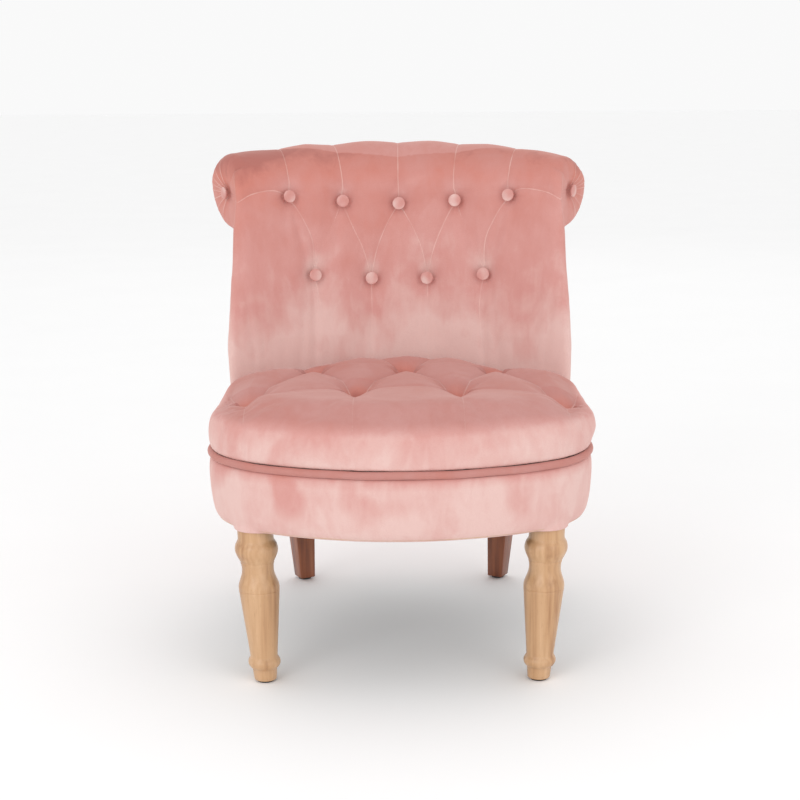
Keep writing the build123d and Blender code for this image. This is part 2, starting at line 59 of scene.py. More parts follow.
def colour(red, green, blue):
    """A colour given as 0 to 255 on a screen, as the shader wants it."""
    parts = [part / 255 for part in (red, green, blue)]
    return [((part + 0.055) / 1.055) ** 2.4 for part in parts] + [1]


def finish_named(name, roughness, **fixed):
    """A material whose even values sit straight on its shader."""
    material = bpy.data.materials.new(name)
    material.use_nodes = True
    shader = material.node_tree.nodes["Principled BSDF"]
    shader.inputs["Roughness"].default_value = roughness
    for key, value in fixed.items():
        shader.inputs[key.replace("_", " ")].default_value = value
    return material, material.node_tree, shader


def own_place(tree):
    return node(tree, "ShaderNodeTexCoord").outputs["Object"]


def scaled_noise(tree, place, scale, detail, size=1.0, distortion=0.0):
    spot = node(tree, "ShaderNodeMapping", {"Vector": place, "Scale": scale})
    values = {"Vector": spot.outputs[0], "Scale": size, "Detail": detail, "Distortion": distortion}
    return node(tree, "ShaderNodeTexNoise", values).outputs["Fac"]


def spread(tree, value, low, high, new_low=0.0, new_high=1.0):
    limits = {"Value": value, "From Min": low, "From Max": high,
              "To Min": new_low, "To Max": new_high}
    return node(tree, "ShaderNodeMapRange", limits, interpolation_type="SMOOTHSTEP").outputs[0]


def sums(tree, operation, first, second):
    return node(tree, "ShaderNodeMath", {0: first, 1: second}, operation=operation).outputs[0]


def plus(tree, first, second):
    return sums(tree, "ADD", first, second)


def times(tree, first, second):
    return sums(tree, "MULTIPLY", first, second)


def swing(tree, value, amount):
    """A noise value moved to lie about zero, and scaled."""
    return times(tree, sums(tree, "SUBTRACT", value, 0.5), amount)


def blended(tree, amount, first, second):
    values = {0: amount, 6: first, 7: second}
    return node(tree, "ShaderNodeMix", values, data_type="RGBA").outputs[2]


def ramp(tree, value, stops):
    made = node(tree, "ShaderNodeValToRGB", {"Fac": value})
    while len(made.color_ramp.elements) < len(stops):
        made.color_ramp.elements.new(0.5)
    for element, (place, shade) in zip(made.color_ramp.elements, stops):
        element.position = place
        element.color = shade
    return made.outputs["Color"]


def dyed(tree, shader, shade):
    tree.links.new(shade, shader.inputs["Base Color"])


def relief(tree, shader, height, depth, strength=1.0):
    values = {"Height": height, "Distance": depth, "Strength": strength}
    bump = node(tree, "ShaderNodeBump", values)
    tree.links.new(bump.outputs[0], shader.inputs["Normal"])


def group_of(name, inputs, outputs):
    made = bpy.data.node_groups.new(name, "ShaderNodeTree")
    for title, kind in inputs:
        made.interface.new_socket(title, in_out="INPUT", socket_type="NodeSocket" + kind)
    for title, kind in outputs:
        made.interface.new_socket(title, in_out="OUTPUT", socket_type="NodeSocket" + kind)
    return made, made.nodes.new("NodeGroupInput"), made.nodes.new("NodeGroupOutput")


# The grain runs along Z; long streaks, growth rings and short pores.
grain_facts = [("Grain", "Float"), ("Pores", "Float"), ("Flecks", "Float")]
wood_grain, inlet, outlet = group_of("wood_grain", [("Place", "Vector")], grain_facts)
place = inlet.outputs["Place"]
drift = scaled_noise(wood_grain, place, (16, 16, 1.6), 3)
rings = sums(wood_grain, "PINGPONG", times(wood_grain, drift, 9.0), 1.0)
streaks = scaled_noise(wood_grain, place, (210, 210, 5.0), 6)
weighed = plus(wood_grain, times(wood_grain, rings, 0.42), times(wood_grain, streaks, 0.75))
wood_grain.links.new(sums(wood_grain, "SUBTRACT", weighed, 0.1), outlet.inputs["Grain"])
pores = scaled_noise(wood_grain, place, (1500, 1500, 60), 2)
wood_grain.links.new(spread(wood_grain, pores, 0.62, 0.72), outlet.inputs["Pores"])
flecks = scaled_noise(wood_grain, place, (34, 34, 9), 2)
wood_grain.links.new(spread(wood_grain, flecks, 0.35, 0.7), outlet.inputs["Flecks"])


def wood(name, light, middle, dark, turn, roughness, coat, start=(0, 0, 0)):
    """Wood with its grain along Z once turned; light, middle and dark are its colours."""
    material, tree, shader = finish_named(name, roughness, Coat_Weight=coat, Coat_Roughness=0.25)
    place = own_place(tree)
    turned = node(tree, "ShaderNodeMapping", {"Vector": place, "Rotation": turn, "Location": start})
    grain = node(tree, "ShaderNodeGroup", node_tree=wood_grain)
    tree.links.new(turned.outputs[0], grain.inputs["Place"])
    base = ramp(tree, grain.outputs["Grain"], [(0.12, dark), (0.45, middle), (0.85, light)])
    pores = grain.outputs["Pores"]
    mottled = blended(tree, times(tree, grain.outputs["Flecks"], 0.35), base, middle)
    pitted = blended(tree, times(tree, pores, 0.4), mottled, dark)
    dyed(tree, shader, pitted)
    rough = plus(tree, times(tree, pores, 0.15), roughness)
    tree.links.new(rough, shader.inputs["Roughness"])
    relief(tree, shader, sums(tree, "SUBTRACT", grain.outputs["Grain"], pores), 0.00012, 0.5)
    return material


def paint(names, material):
    for name in names:
        cad_nodes[name].data.materials.clear()
        cad_nodes[name].data.materials.append(material)


beech = (colour(214, 186, 148), colour(198, 165, 124), colour(168, 132, 92))
beech_across = wood("beech_across", *beech, (0, math.radians(90), 0), 0.7, 0.0)
beech_along = wood("beech_along", *beech, (math.radians(90), 0, 0), 0.7, 0.0)
beech_upright = wood("beech_upright", *beech, (0, 0, 0), 0.7, 0.0)
paint(["front_rail", "rear_rail", "back_top_rail", "lumbar_rail"], beech_across)
paint(["left_rail", "right_rail"], beech_along)
uprights = ["back_post_left", "back_post_right", "scroll_core"]
uprights += ["scroll_end_disc_left", "scroll_end_disc_right"]
for side in ("left", "right"):
    uprights += ["front_corner_block_" + side, "rear_corner_block_" + side]
paint(uprights, beech_upright)


# ---------------------------------------------------------------- front legs
# Turned legs in pale natural hardwood under a satin lacquer. Each is turned in
# one piece, with scored lines at the shoulder and under the bead, and bolts on.

# Height and radius up the leg, in millimetres: foot, ring, taper, shoulder, neck, bead, top.
TURNING = [
    (3, 15.6), (4, 16.2), (12, 17.0), (19, 17.6), (20.5, 19.0), (22, 20.7), (24, 22.0),
    (26, 22.9), (28.5, 23.2), (31, 22.9), (33, 22.0), (35, 20.7), (36.5, 19.8), (38.5, 19.6),
    (60, 21.7), (85, 24.2), (110, 26.7), (126, 28.2), (132, 28.9), (134.4, 29.2), (135.4, 28.6),
    (136.4, 29.2), (139, 29.3), (142, 29.0), (145, 28.4), (150, 26.5), (155, 24.6), (160, 23.2),
    (164, 22.8), (168, 22.8), (172, 23.3), (175.4, 24.2), (176.4, 23.9), (177.4, 24.6),
    (180, 25.8), (184, 27.8), (187, 29.1), (190, 30.2), (193, 30.8), (196, 30.8), (199, 30.3),
    (202, 29.4), (204.5, 28.0), (207, 26.4), (209, 25.8), (211, 25.6), (227.2, 25.6),
]
LEG_TOP = 0.2276


def deselected():
    if bpy.context.mode != "OBJECT":
        bpy.ops.object.mode_set(mode="OBJECT")
    bpy.ops.object.select_all(action="DESELECT")


def chosen(piece):
    deselected()
    piece.select_set(True)
    bpy.context.view_layer.objects.active = piece


def all_in_edit_mode():
    bpy.ops.object.mode_set(mode="EDIT")
    bpy.ops.mesh.select_all(action="SELECT")


def shaped(piece, kind, **settings):
    """Puts one modifier on a piece and applies it."""
    chosen(piece)
    modifier = piece.modifiers.new(kind, kind)
    for name, value in settings.items():
        setattr(modifier, name, value)
    bpy.ops.object.modifier_apply(modifier=kind)


def settled(piece, name, material, smooth=35):
    """Names a finished piece, puts its place in its mesh and gives it its finish."""
    chosen(piece)
    bpy.ops.object.transform_apply(location=True, rotation=True, scale=True)
    bpy.ops.object.shade_smooth_by_angle(angle=math.radians(smooth))
    piece.name = name
    piece.data.name = name
    piece.data.materials.clear()
    piece.data.materials.append(material)
    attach(piece, "root")
    return piece


def closed_outwards(piece):
    chosen(piece)
    all_in_edit_mode()
    bpy.ops.mesh.remove_doubles(threshold=0.00002)
    bpy.ops.mesh.normals_make_consistent(inside=False)
    bpy.ops.object.mode_set(mode="OBJECT")


pale = (colour(216, 176, 136), colour(198, 154, 112), colour(164, 116, 76))
for side, name, start in ((-1, "left", (0.31, 0.12, 0.4)), (1, "right", (0.07, 0.55, 0.9))):
    finish = wood("pale_leg_wood_" + name, *pale, (0, 0, 0), 0.36, 0.25, start)
    lean = Vector((side * 0.0115, 0.012, LEG_TOP)) / LEG_TOP
    foot = Vector((side * 0.197, -0.238, 0))
    z0, r0 = TURNING[0]
    deselected()
    bpy.ops.mesh.primitive_circle_add(
        vertices=72, radius=r0 / 1000, fill_type="NGON", location=foot + lean * z0 / 1000
    )
    leg = bpy.context.object
    all_in_edit_mode()
    for (z0, r0), (z1, r1) in zip(TURNING[:-1], TURNING[1:]):
        step = lean * (z1 - z0) / 1000
        bpy.ops.mesh.extrude_region_move(TRANSFORM_OT_translate={"value": step})
        grow = r1 / r0
        bpy.ops.transform.resize(value=(grow, grow, 1), center_override=foot + lean * z1 / 1000)
    closed_outwards(leg)
    settled(leg, "turned_leg_" + name, finish, 50)
    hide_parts("front_leg_" + name)


# ---------------------------------------------------------------- rear legs
# Square tapered legs, raked back, in a darker reddish brown than the front legs, with eased edges.
# They stand under the rear rail and bolt up into it.

FOOT_WIDE, HEAD_WIDE, PARTS = 27, 45, 6
reddish_brown = (colour(162, 98, 60), colour(134, 72, 40), colour(94, 46, 24))
for side, name, start in ((-1, "left", (0.7, 0.3, 0.2)), (1, "right", (0.2, 0.8, 0.5))):
    finish = wood("brown_leg_wood_" + name, *reddish_brown, (math.radians(-20), 0, 0), 0.42, 0.2, start)
    turn = -side * math.radians(29)
    foot = Vector((side * 0.167, 0.249, 0.003))
    head = Vector((side * 0.173, 0.163, 0.2272))
    deselected()
    bpy.ops.mesh.primitive_plane_add(size=FOOT_WIDE / 1000, location=foot, rotation=(0, 0, turn))
    leg = bpy.context.object
    all_in_edit_mode()
    widths = [FOOT_WIDE + (HEAD_WIDE - FOOT_WIDE) * part / PARTS for part in range(PARTS + 1)]
    for part in range(PARTS):
        bpy.ops.mesh.extrude_region_move(TRANSFORM_OT_translate={"value": (head - foot) / PARTS})
        grow = widths[part + 1] / widths[part]
        middle = foot + (head - foot) * (part + 1) / PARTS
        bpy.ops.transform.resize(value=(grow, grow, 1), center_override=middle)
    closed_outwards(leg)
    shaped(leg, "BEVEL", width=0.0022, segments=3, limit_method="ANGLE",
           angle_limit=math.radians(40))
    settled(leg, "square_leg_" + name, finish, 30)
    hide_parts("rear_leg_" + name)


# ---------------------------------------------------------------- bolts, nuts and glides
# Zinc-plated hanger bolts, tee nuts and threaded inserts hold the legs. Hard
# black plastic glides are nailed under the four feet.


def plain_metal(name, base, dull, roughness):
    material, tree, shader = finish_named(name, roughness, Metallic=1.0)
    place = own_place(tree)
    cloud = scaled_noise(tree, place, (120, 120, 120), 4)
    fine = scaled_noise(tree, place, (900, 900, 2400), 2)
    dyed(tree, shader, ramp(tree, cloud, [(0.3, dull), (0.7, base)]))
    rough = spread(tree, fine, 0.3, 0.7, roughness - 0.08, roughness + 0.12)
    tree.links.new(rough, shader.inputs["Roughness"])
    relief(tree, shader, fine, 0.00005, 0.4)
    return material


zinc = plain_metal("zinc_steel", colour(206, 208, 210), colour(170, 174, 178), 0.32)
paint(["leg_bolts", "front_leg_tee_nuts", "rear_leg_inserts"], zinc)
plastic, tree, shader = finish_named("glide_plastic", 0.5)
place = own_place(tree)
scuffs = scaled_noise(tree, place, (160, 160, 700), 4)
black = ramp(tree, scuffs, [(0.35, colour(24, 23, 22)), (0.75, colour(58, 55, 52))])
dyed(tree, shader, black)
relief(tree, shader, scuffs, 0.0001, 0.4)
paint(["foot_glides"], plastic)


# ---------------------------------------------------------------- springs and webbing
# Zigzag springs of drawn steel run front to back in nailed clips, and rubbered
# webbing is stretched from post to post behind the back padding.

spring_wire = plain_metal("spring_steel", colour(128, 130, 134), colour(78, 80, 84), 0.4)
paint(["zigzag_springs", "spring_clips"], spring_wire)


def woven(name, light, dark, pitch, depth, roughness):
    """Plain cloth: two sets of threads crossing, seen from any side."""
    material, tree, shader = finish_named(name, roughness)
    place = own_place(tree)
    right_angle = math.radians(90)
    threads = None
    for turn in ((0, 0, 0), (0, right_angle, 0), (right_angle, right_angle, 0)):
        spot = node(tree, "ShaderNodeMapping", {"Vector": place, "Rotation": turn})
        values = {"Vector": spot.outputs[0], "Scale": 0.314 / pitch, "Detail": 2.0,
                  "Distortion": 0.6}
        wave = node(tree, "ShaderNodeTexWave", values, bands_direction="X").outputs["Fac"]
        threads = wave if threads is None else sums(tree, "MAXIMUM", threads, wave)
    cloud = scaled_noise(tree, place, (70, 70, 70), 4)
    mixed = times(tree, threads, spread(tree, cloud, 0.2, 0.8, 0.6, 1.0))
    dyed(tree, shader, ramp(tree, mixed, [(0.1, dark), (0.9, light)]))
    relief(tree, shader, threads, depth, 0.6)
    return material


webbing = woven("webbing", colour(182, 158, 120), colour(120, 96, 64), 0.002, 0.0004, 0.85)
paint(["back_webbing"], webbing)
black_cloth = woven("dust_cloth", colour(44, 43, 42), colour(16, 16, 16), 0.0012, 0.0002, 0.95)
paint(["dust_cover"], black_cloth)
card = woven("tack_card", colour(176, 150, 112), colour(150, 124, 88), 0.003, 0.0001, 0.9)
paint(["tack_strip"], card)
twine = woven("twine", colour(216, 204, 178), colour(150, 134, 104), 0.0009, 0.0002, 0.85)
ties = ["back_button_ties_lower", "back_button_ties_upper", "seat_tuft_ties", "seat_tuft_toggles"]
paint(ties, twine)


# ---------------------------------------------------------------- felt, foam and wadding
# Grey needled felt covers the springs. Cut polyurethane foam and white polyester
# wadding give the seat, back and scroll their shape under the velvet.


def fluffy(name, light, dark, grain, depth):
    material, tree, shader = finish_named(name, 0.95)
    place = own_place(tree)
    values = {"Vector": place, "Scale": grain}
    cells = node(tree, "ShaderNodeTexVoronoi", values).outputs["Distance"]
    cloud = scaled_noise(tree, place, (30, 30, 30), 5)
    both = plus(tree, times(tree, cells, 0.5), times(tree, cloud, 0.6))
    dyed(tree, shader, ramp(tree, both, [(0.2, dark), (0.7, light)]))
    relief(tree, shader, cells, depth, 0.6)
    return material


felt = fluffy("felt", colour(150, 148, 146), colour(92, 92, 94), 420, 0.0004)
foam = fluffy("foam", colour(238, 228, 188), colour(206, 190, 138), 800, 0.0003)
wadding = fluffy("wadding", colour(245, 245, 243), colour(214, 214, 212), 260, 0.0008)
paint(["spring_felt"], felt)
pads = ["seat_foam", "back_foam", "scroll_foam", "scroll_end_pad_left", "scroll_end_pad_right"]
paint(pads, foam)
layers = ["seat_wadding", "back_wadding", "scroll_wadding", "base_wadding", "outside_back_wadding"]
paint(layers, wadding)


# ---------------------------------------------------------------- border round the base
# A band of blush velvet over wadding, pulled round the seat rails, turned under and stapled. Its
# colour comes from a ramp from deep salmon to pale blush: random patches give the brushed look of
# the pile, and painted shade makes upper parts and tops darker and low parts paler.

VELVET = [
    (0.0, colour(184, 113, 102)), (0.18, colour(206, 133, 120)), (0.45, colour(208, 145, 136)),
    (0.68, colour(214, 158, 151)), (1.0, colour(228, 194, 187)),
]
SHADE_BETWEEN_HAIRS, FOLD_HIGHLIGHT = colour(176, 104, 96), colour(244, 208, 198)
facts_in = [("Place", "Vector"), ("Nap_and_shade", "Float"), ("Side", "Float"), ("Near", "Float")]
pile_facts = [("Colour", "Color"), ("Height", "Float")]
cloth, inlet, outlet = group_of("velvet_pile", facts_in, pile_facts)
place = inlet.outputs["Place"]
patches = spread(cloth, scaled_noise(cloth, place, (9, 9, 6.5), 3, 1.0, 0.9), 0.44, 0.56, -0.5, 0.5)
strokes = scaled_noise(cloth, place, (75, 75, 22), 5, 1.0, 0.6)
mottle = scaled_noise(cloth, place, (30, 30, 30), 6, 1.0, 0.3)
# The ramp is read at the piece's painted shade value, moved by random patches and strokes of pile.
lie = plus(cloth, inlet.outputs["Nap_and_shade"], times(cloth, patches, 0.1))
lie = plus(cloth, lie, swing(cloth, strokes, 0.24))
lie = plus(cloth, lie, swing(cloth, mottle, 0.26))
shade = ramp(cloth, lie, VELVET)
pile = scaled_noise(cloth, place, (1500, 1500, 1500), 2)
# Painted shade between the fibres of the pile, in fine spots.
shade = blended(cloth, spread(cloth, pile, 0.35, 0.75, 0.0, 0.22), shade, SHADE_BETWEEN_HAIRS)
size = node(cloth, "ShaderNodeMath", {0: inlet.outputs["Side"]}, operation="ABSOLUTE").outputs[0]
close = spread(cloth, inlet.outputs["Near"], 0.0026, 0.0045, 1.0, 0.0)
line = times(cloth, spread(cloth, size, 0.0003, 0.0011, 1.0, 0.0), close)
uneven = spread(cloth, mottle, 0.3, 0.7, 0.12, 0.5)
# Painted highlight along each fold line, stronger in places.
shade = blended(cloth, times(cloth, line, uneven), shade, FOLD_HIGHLIGHT)
cloth.links.new(shade, outlet.inputs["Colour"])
height = plus(cloth, times(cloth, pile, 0.25), times(cloth, mottle, 0.6))
height = plus(cloth, height, times(cloth, line, 0.9))
cloth.links.new(height, outlet.inputs["Height"])


def velvet(name, start=(0, 0, 0), turn=(0, 0, 0)):
    """Blush velvet that reads the piece's pile tone with its painted shade, its folds where it has
    them, and its painted top shade.
    """
    material, tree, shader = finish_named(
        name, 0.85, Sheen_Weight=0.28, Sheen_Roughness=0.45, Sheen_Tint=colour(255, 226, 218),
        Specular_IOR_Level=0.25,
    )
    place = own_place(tree)
    moved = node(tree, "ShaderNodeMapping", {"Vector": place, "Location": start, "Rotation": turn})
    facts = node(tree, "ShaderNodeAttribute", attribute_name="folds")
    parts = node(tree, "ShaderNodeSeparateXYZ", {0: facts.outputs["Vector"]})
    pile_node = node(tree, "ShaderNodeGroup", node_tree=cloth)
    tree.links.new(moved.outputs[0], pile_node.inputs["Place"])
    for socket, name in enumerate(("Side", "Near", "Nap_and_shade")):
        tree.links.new(parts.outputs[socket], pile_node.inputs[name])
    # Painted shade: where the piece asks for it, mostly on tops, the colour is pulled up to a fifth
    # of the way towards a dusky grey-pink.
    painted_top_shade = node(tree, "ShaderNodeAttribute", attribute_name="painted_top_shade").outputs["Fac"]
    shade = blended(tree, times(tree, painted_top_shade, 0.2), pile_node.outputs["Colour"], colour(96, 78, 84))
    dyed(tree, shader, shade)
    relief(tree, shader, pile_node.outputs["Height"], 0.0006, 0.45)
    return material


# The seat's plan: a front arc, two round corners, and sides that taper to the rear.
FRONT_ARC, FRONT_MIDDLE, FRONT_HALF = 415, 92, 30
CORNER, CORNER_X, CORNER_Y = 145, 135, -141.8
TAPER = 1.4


def seat_outline(inset, rear_y, rear_radius, counts=(60, 34, 40, 60)):
    """The seat's plan in millimetres, from the rear left round the front to the rear right."""
    front, corner, side, rear = counts
    taper = math.radians(TAPER)
    bent = CORNER - inset
    x0 = CORNER_X + bent * math.cos(taper)
    y0 = CORNER_Y + bent * math.sin(taper)
    centre = rear_y - rear_radius
    radius = rear_radius - inset
    half_b = (y0 - centre) * math.cos(taper) - x0 * math.sin(taper)
    run = math.sqrt(half_b**2 - (x0**2 + (y0 - centre) ** 2 - radius**2)) - half_b
    end = (x0 - run * math.sin(taper), y0 + run * math.cos(taper))
    half = []
    for i in range(side, -1, -1):
        half.append((x0 + (end[0] - x0) * i / side, y0 + (end[1] - y0) * i / side))
    for i in range(1, corner + 1):
        angle = math.radians(90 + TAPER - (90 + TAPER - FRONT_HALF) * i / corner)
        half.append((CORNER_X + bent * math.sin(angle), CORNER_Y - bent * math.cos(angle)))
    points = []
    for i in range(1, front):
        angle = math.radians(FRONT_HALF - 2 * FRONT_HALF * i / front)
        reach = FRONT_ARC - inset
        points.append((reach * math.sin(angle), FRONT_MIDDLE - reach * math.cos(angle)))
    loop = [(-x, y) for x, y in half] + points[::-1] + half[::-1]
    arc = []
    if rear:
        wide = math.asin(end[0] / radius)
        for i in range(1, rear):
            angle = wide - 2 * wide * i / rear
            arc.append((radius * math.sin(angle), centre + radius * math.cos(angle)))
    return np.array(loop + arc)


def raw_mesh(name, points, faces):
    """A mesh from points in millimetres."""
    data = bpy.data.meshes.new(name)
    data.from_pydata([tuple(p) for p in np.asarray(points) / 1000], [], [tuple(f) for f in faces])
    data.validate()
    piece = bpy.data.objects.new(name, data)
    bpy.context.scene.collection.objects.link(piece)
    return piece


def points_of(piece):
    flat = np.zeros(len(piece.data.vertices) * 3)
    piece.data.vertices.foreach_get("co", flat)
    return flat.reshape(-1, 3) * 1000


def put_points(piece, points):
    piece.data.vertices.foreach_set("co", (np.asarray(points) / 1000).ravel())
    piece.data.update()


def normals_of(piece):
    flat = np.zeros(len(piece.data.vertices) * 3)
    piece.data.vertex_normals.foreach_get("vector", flat)
    return flat.reshape(-1, 3)


def cloudy(points, size, seed):
    """A slow random value from about -1 to 1 at each point, the same every time."""
    shift = Vector((seed * 7.3, seed * 3.1, seed * 5.7))
    return np.array([noise.noise(Vector(p) / size + shift) for p in points])


def keep_facts(piece, side, near, nap_and_shade, painted_top_shade=0.0):
    """Stores where the folds run, the pile tone with its painted shade, and how far painted shade
    darkens the tops.
    """
    count = len(piece.data.vertices)
    values = np.stack([np.broadcast_to(v, count) for v in (side, near, nap_and_shade)], axis=1)
    facts = piece.data.attributes.new("folds", "FLOAT_VECTOR", "POINT")
    facts.data.foreach_set("vector", values.astype(np.float32).ravel())
    top_shade_values = piece.data.attributes.new("painted_top_shade", "FLOAT", "POINT")
    top_shade_values.data.foreach_set("value", np.array(np.broadcast_to(painted_top_shade, count), np.float32))


def lerp(value, places, results):
    return np.interp(value, places, results)


outline = seat_outline(0, 240, 505, (72, 40, 70, 0))
ahead = np.roll(outline, -1, 0) - np.roll(outline, 1, 0)
ahead[0], ahead[-1] = outline[1] - outline[0], outline[-1] - outline[-2]
ahead /= np.hypot(*ahead.T)[:, None]
outward = np.stack([ahead[:, 1], -ahead[:, 0]], 1)
# How far the band's face stands out from the plan, at each height.
BAND = [(-9.5, 317.0), (-5.6, 316.4), (-2.8, 313.5), (-1.2, 308), (-0.4, 298), (-0.8, 284),
        (-2.0, 268), (-4.0, 252), (-6.4, 240), (-8.6, 233.5), (-11.6, 228.4), (-15.4, 225.6),
        (-19, 224.4), (-23, 224.2)]
LEG_X, LEG_Y, LEG_CLEAR = 208.5, -226, 27.5
lining = [(offset - 2.0, z + (1.6 if z < 300 else 0)) for offset, z in BAND[1:-1]][::-1]
section = BAND + [(-23, 225.8)] + lining + [(-9.5, 315.0)]
stations = []
for spot, away in zip(outline, outward):
    reach = math.hypot(abs(spot[0]) - LEG_X, spot[1] - LEG_Y) - LEG_CLEAR
    ring = []
    for offset, z in section:
        if z < 229:
            offset = max(offset, -max(reach, 3))
        ring.append((spot[0] + away[0] * offset, spot[1] + away[1] * offset, z))
    stations.append(ring)
ring_size = len(section)
points = [p for ring in stations for p in ring]
faces = []
for first in range(0, len(points) - ring_size, ring_size):
    for i in range(ring_size):
        j = (i + 1) % ring_size
        faces.append((first + i, first + j, first + ring_size + j, first + ring_size + i))
faces += [range(ring_size), range(len(points) - 1, len(points) - ring_size - 1, -1)]
border = raw_mesh("border", points, faces)
closed_outwards(border)
shaped(border, "SUBSURF", levels=2, render_levels=2)
points = points_of(border)
ripple = cloudy(points * (1, 1, 0.5), 70, 3) * 1.1 + cloudy(points, 22, 4) * 0.25
fade = lerp(points[:, 2], (228, 240, 300, 312), (0.2, 1, 1, 0.1))
put_points(border, points + normals_of(border) * (ripple * fade)[:, None])
nap_and_shade = np.full(len(points), 0.95)
brushed = cloudy(points * (1, 0.4, 0.8), 60, 11)
nap_and_shade -= lerp(brushed, (0.1, 0.4), (0, 0.26)) * lerp(points[:, 2], (240, 262, 300), (0, 0.7, 1))
# Painted shade: the top of the band, where it rounds over, is darker.
nap_and_shade -= lerp(points[:, 2], (300, 316), (0, 0.25))
keep_facts(border, 1.0, 1.0, nap_and_shade)
settled(border, "velvet_border", velvet("velvet_on_border", (0.3, 0.1, 0.2)), 60)
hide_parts("base_border", "base_wadding")


# ---------------------------------------------------------------- piping
# A cord covered in bias-cut velvet, sewn into the seam between the border and
# the cushion. It runs round the front and both sides and is tucked in behind.

CORD_Z, CORD_RADIUS, CORD_END, CORD_INSET = 322.0, 0.0056, 62, 4.5
plan = seat_outline(0, 240, 505, (90, 50, 60, 0))
route = np.array([(x, y, CORD_Z) for x, y in plan if y < CORD_END])
route[:, 2] += cloudy(route, 60, 21) * 0.9
out = route[:, :2] / np.hypot(*route[:, :2].T)[:, None]
route[:, :2] += out * (cloudy(route, 45, 22)[:, None] * 0.7 - CORD_INSET)
run = bpy.data.curves.new("piping", "CURVE")
run.dimensions = "3D"
run.bevel_depth = CORD_RADIUS
run.bevel_resolution = 5
run.use_fill_caps = True
spline = run.splines.new("POLY")
spline.points.add(len(route) - 1)
for point, spot in zip(spline.points, route):
    point.co = (*(spot / 1000), 1)
piping = bpy.data.objects.new("piping", run)
bpy.context.scene.collection.objects.link(piping)
chosen(piping)
bpy.ops.object.convert(target="MESH")
piping = bpy.context.object
closed_outwards(piping)
points = points_of(piping)
# The cord gets strong painted shade all over, with random tone along it.
keep_facts(piping, 1.0, 1.0, 0.38 + cloudy(points, 40, 5) * 0.2, 0.9)
cord_velvet = velvet("velvet_on_cord", (0.9, 0.4, 0.6), (0, 0, math.radians(45)))
settled(piping, "seat_cord", cord_velvet, 60)
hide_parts("seat_piping")


# ---------------------------------------------------------------- seat cushion
# Foam and wadding under velvet, domed at the edges and deeply tufted: seven ties
# pull the cover down between pillows, and pleats run from tuft to tuft. Stitched
# seams go from the four front tufts down to the piping.

TUFTS = [(-224, -118), (-65, -88), (86, -88), (237, -118), (-136, 60), (9, 55), (148, 60)]


def rings_mesh(name, rings, fans=True):
    """Loops of the same count stacked into a skin, each end closed by a fan or by strips."""
    count = len(rings[0])
    points = [p for ring in rings for p in ring]
    faces = []
    for first in range(0, len(points) - count, count):
        for i in range(count):
            j = (i + 1) % count
            faces.append((first + i, first + j, first + count + j, first + count + i))
    for level in (0, len(rings) - 1):
        first = level * count
        if fans:
            points.append(tuple(np.mean(np.array(rings[level]), axis=0)))
            middle = len(points) - 1
            faces += [(first + i, first + (i + 1) % count, middle) for i in range(count)]
        else:
            last = first + count - 1
            for i in range(count // 2 - 1):
                faces.append((first + i, first + i + 1, last - i - 1, last - i))
    return raw_mesh(name, points, faces)


def one_skin(piece, voxel, rounds):
    """Wraps overlapping closed shells in one even skin and relaxes it."""
    shaped(piece, "REMESH", mode="VOXEL", voxel_size=voxel)
    shaped(piece, "SMOOTH", factor=0.5, iterations=rounds)


SIM_FRAMES = 20


def swollen(piece, held, cap, pressure=4.0):
    """Blows the cover up over its filling like stuffing, held where it is tied."""
    before = points_of(piece)
    group = piece.vertex_groups.new(name="held")
    group.add([int(i) for i in np.flatnonzero(held)], 1.0, "REPLACE")
    cloth = piece.modifiers.new("stuffing", "CLOTH")
    cloth.settings.use_pressure = True
    cloth.settings.uniform_pressure_force = pressure
    cloth.settings.vertex_group_mass = "held"
    cloth.settings.quality = 4
    cloth.settings.effector_weights.gravity = 0
    cloth.point_cache.frame_start = 1
    cloth.point_cache.frame_end = SIM_FRAMES
    for step in range(1, SIM_FRAMES + 1):
        bpy.context.scene.frame_set(step)
    chosen(piece)
    bpy.ops.object.modifier_apply(modifier="stuffing")
    bpy.context.scene.frame_set(1)
    shift = points_of(piece) - before
    length = np.linalg.norm(shift, axis=1)
    most = cap * np.tanh(length / cap) / np.maximum(length, 1e-6)
    put_points(piece, before + shift * most[:, None])
    piece.vertex_groups.clear()


def curved(points, pieces=14):
    """A smooth line through a few points, as many short straight ones."""
    p = np.array([points[0], *points, points[-1]], float)
    made = []
    for i in range(1, len(p) - 2):
        for t in np.linspace(0, 1, pieces, endpoint=False):
            a, b, c, d = p[i - 1], p[i], p[i + 1], p[i + 2]
            made.append(0.5 * (2 * b + (c - a) * t + (2 * a - 5 * b + 4 * c - d) * t**2
                               + (3 * b - a - 3 * c + d) * t**3))
    return np.array(made + [p[-1]])


def nearest_fold(flat, folds):
    """For each flat point: signed and plain distance to the nearest fold, and its depth."""
    near = np.full(len(flat), 1000.0)
    side = near.copy()
    depth = np.zeros(len(flat))
    for line, strength in folds:
        path = curved(line) if len(line) > 2 else np.array(line, float)
        strong = np.interp(np.linspace(0, 1, len(path)), np.linspace(0, 1, len(strength)), strength)
        for i in range(len(path) - 1):
            along = path[i + 1] - path[i]
            off = flat - path[i]
            t = np.clip((off @ along) / (along @ along), 0, 1)
            gap = off - t[:, None] * along
            far = np.hypot(gap[:, 0], gap[:, 1])
            closer = far < near
            turn = along[0] * off[:, 1] - along[1] * off[:, 0]
            near[closer] = far[closer]
            side[closer] = (far * np.sign(turn))[closer]
            depth[closer] = (strong[i] + (strong[i + 1] - strong[i]) * t)[closer]
    return side, near, depth


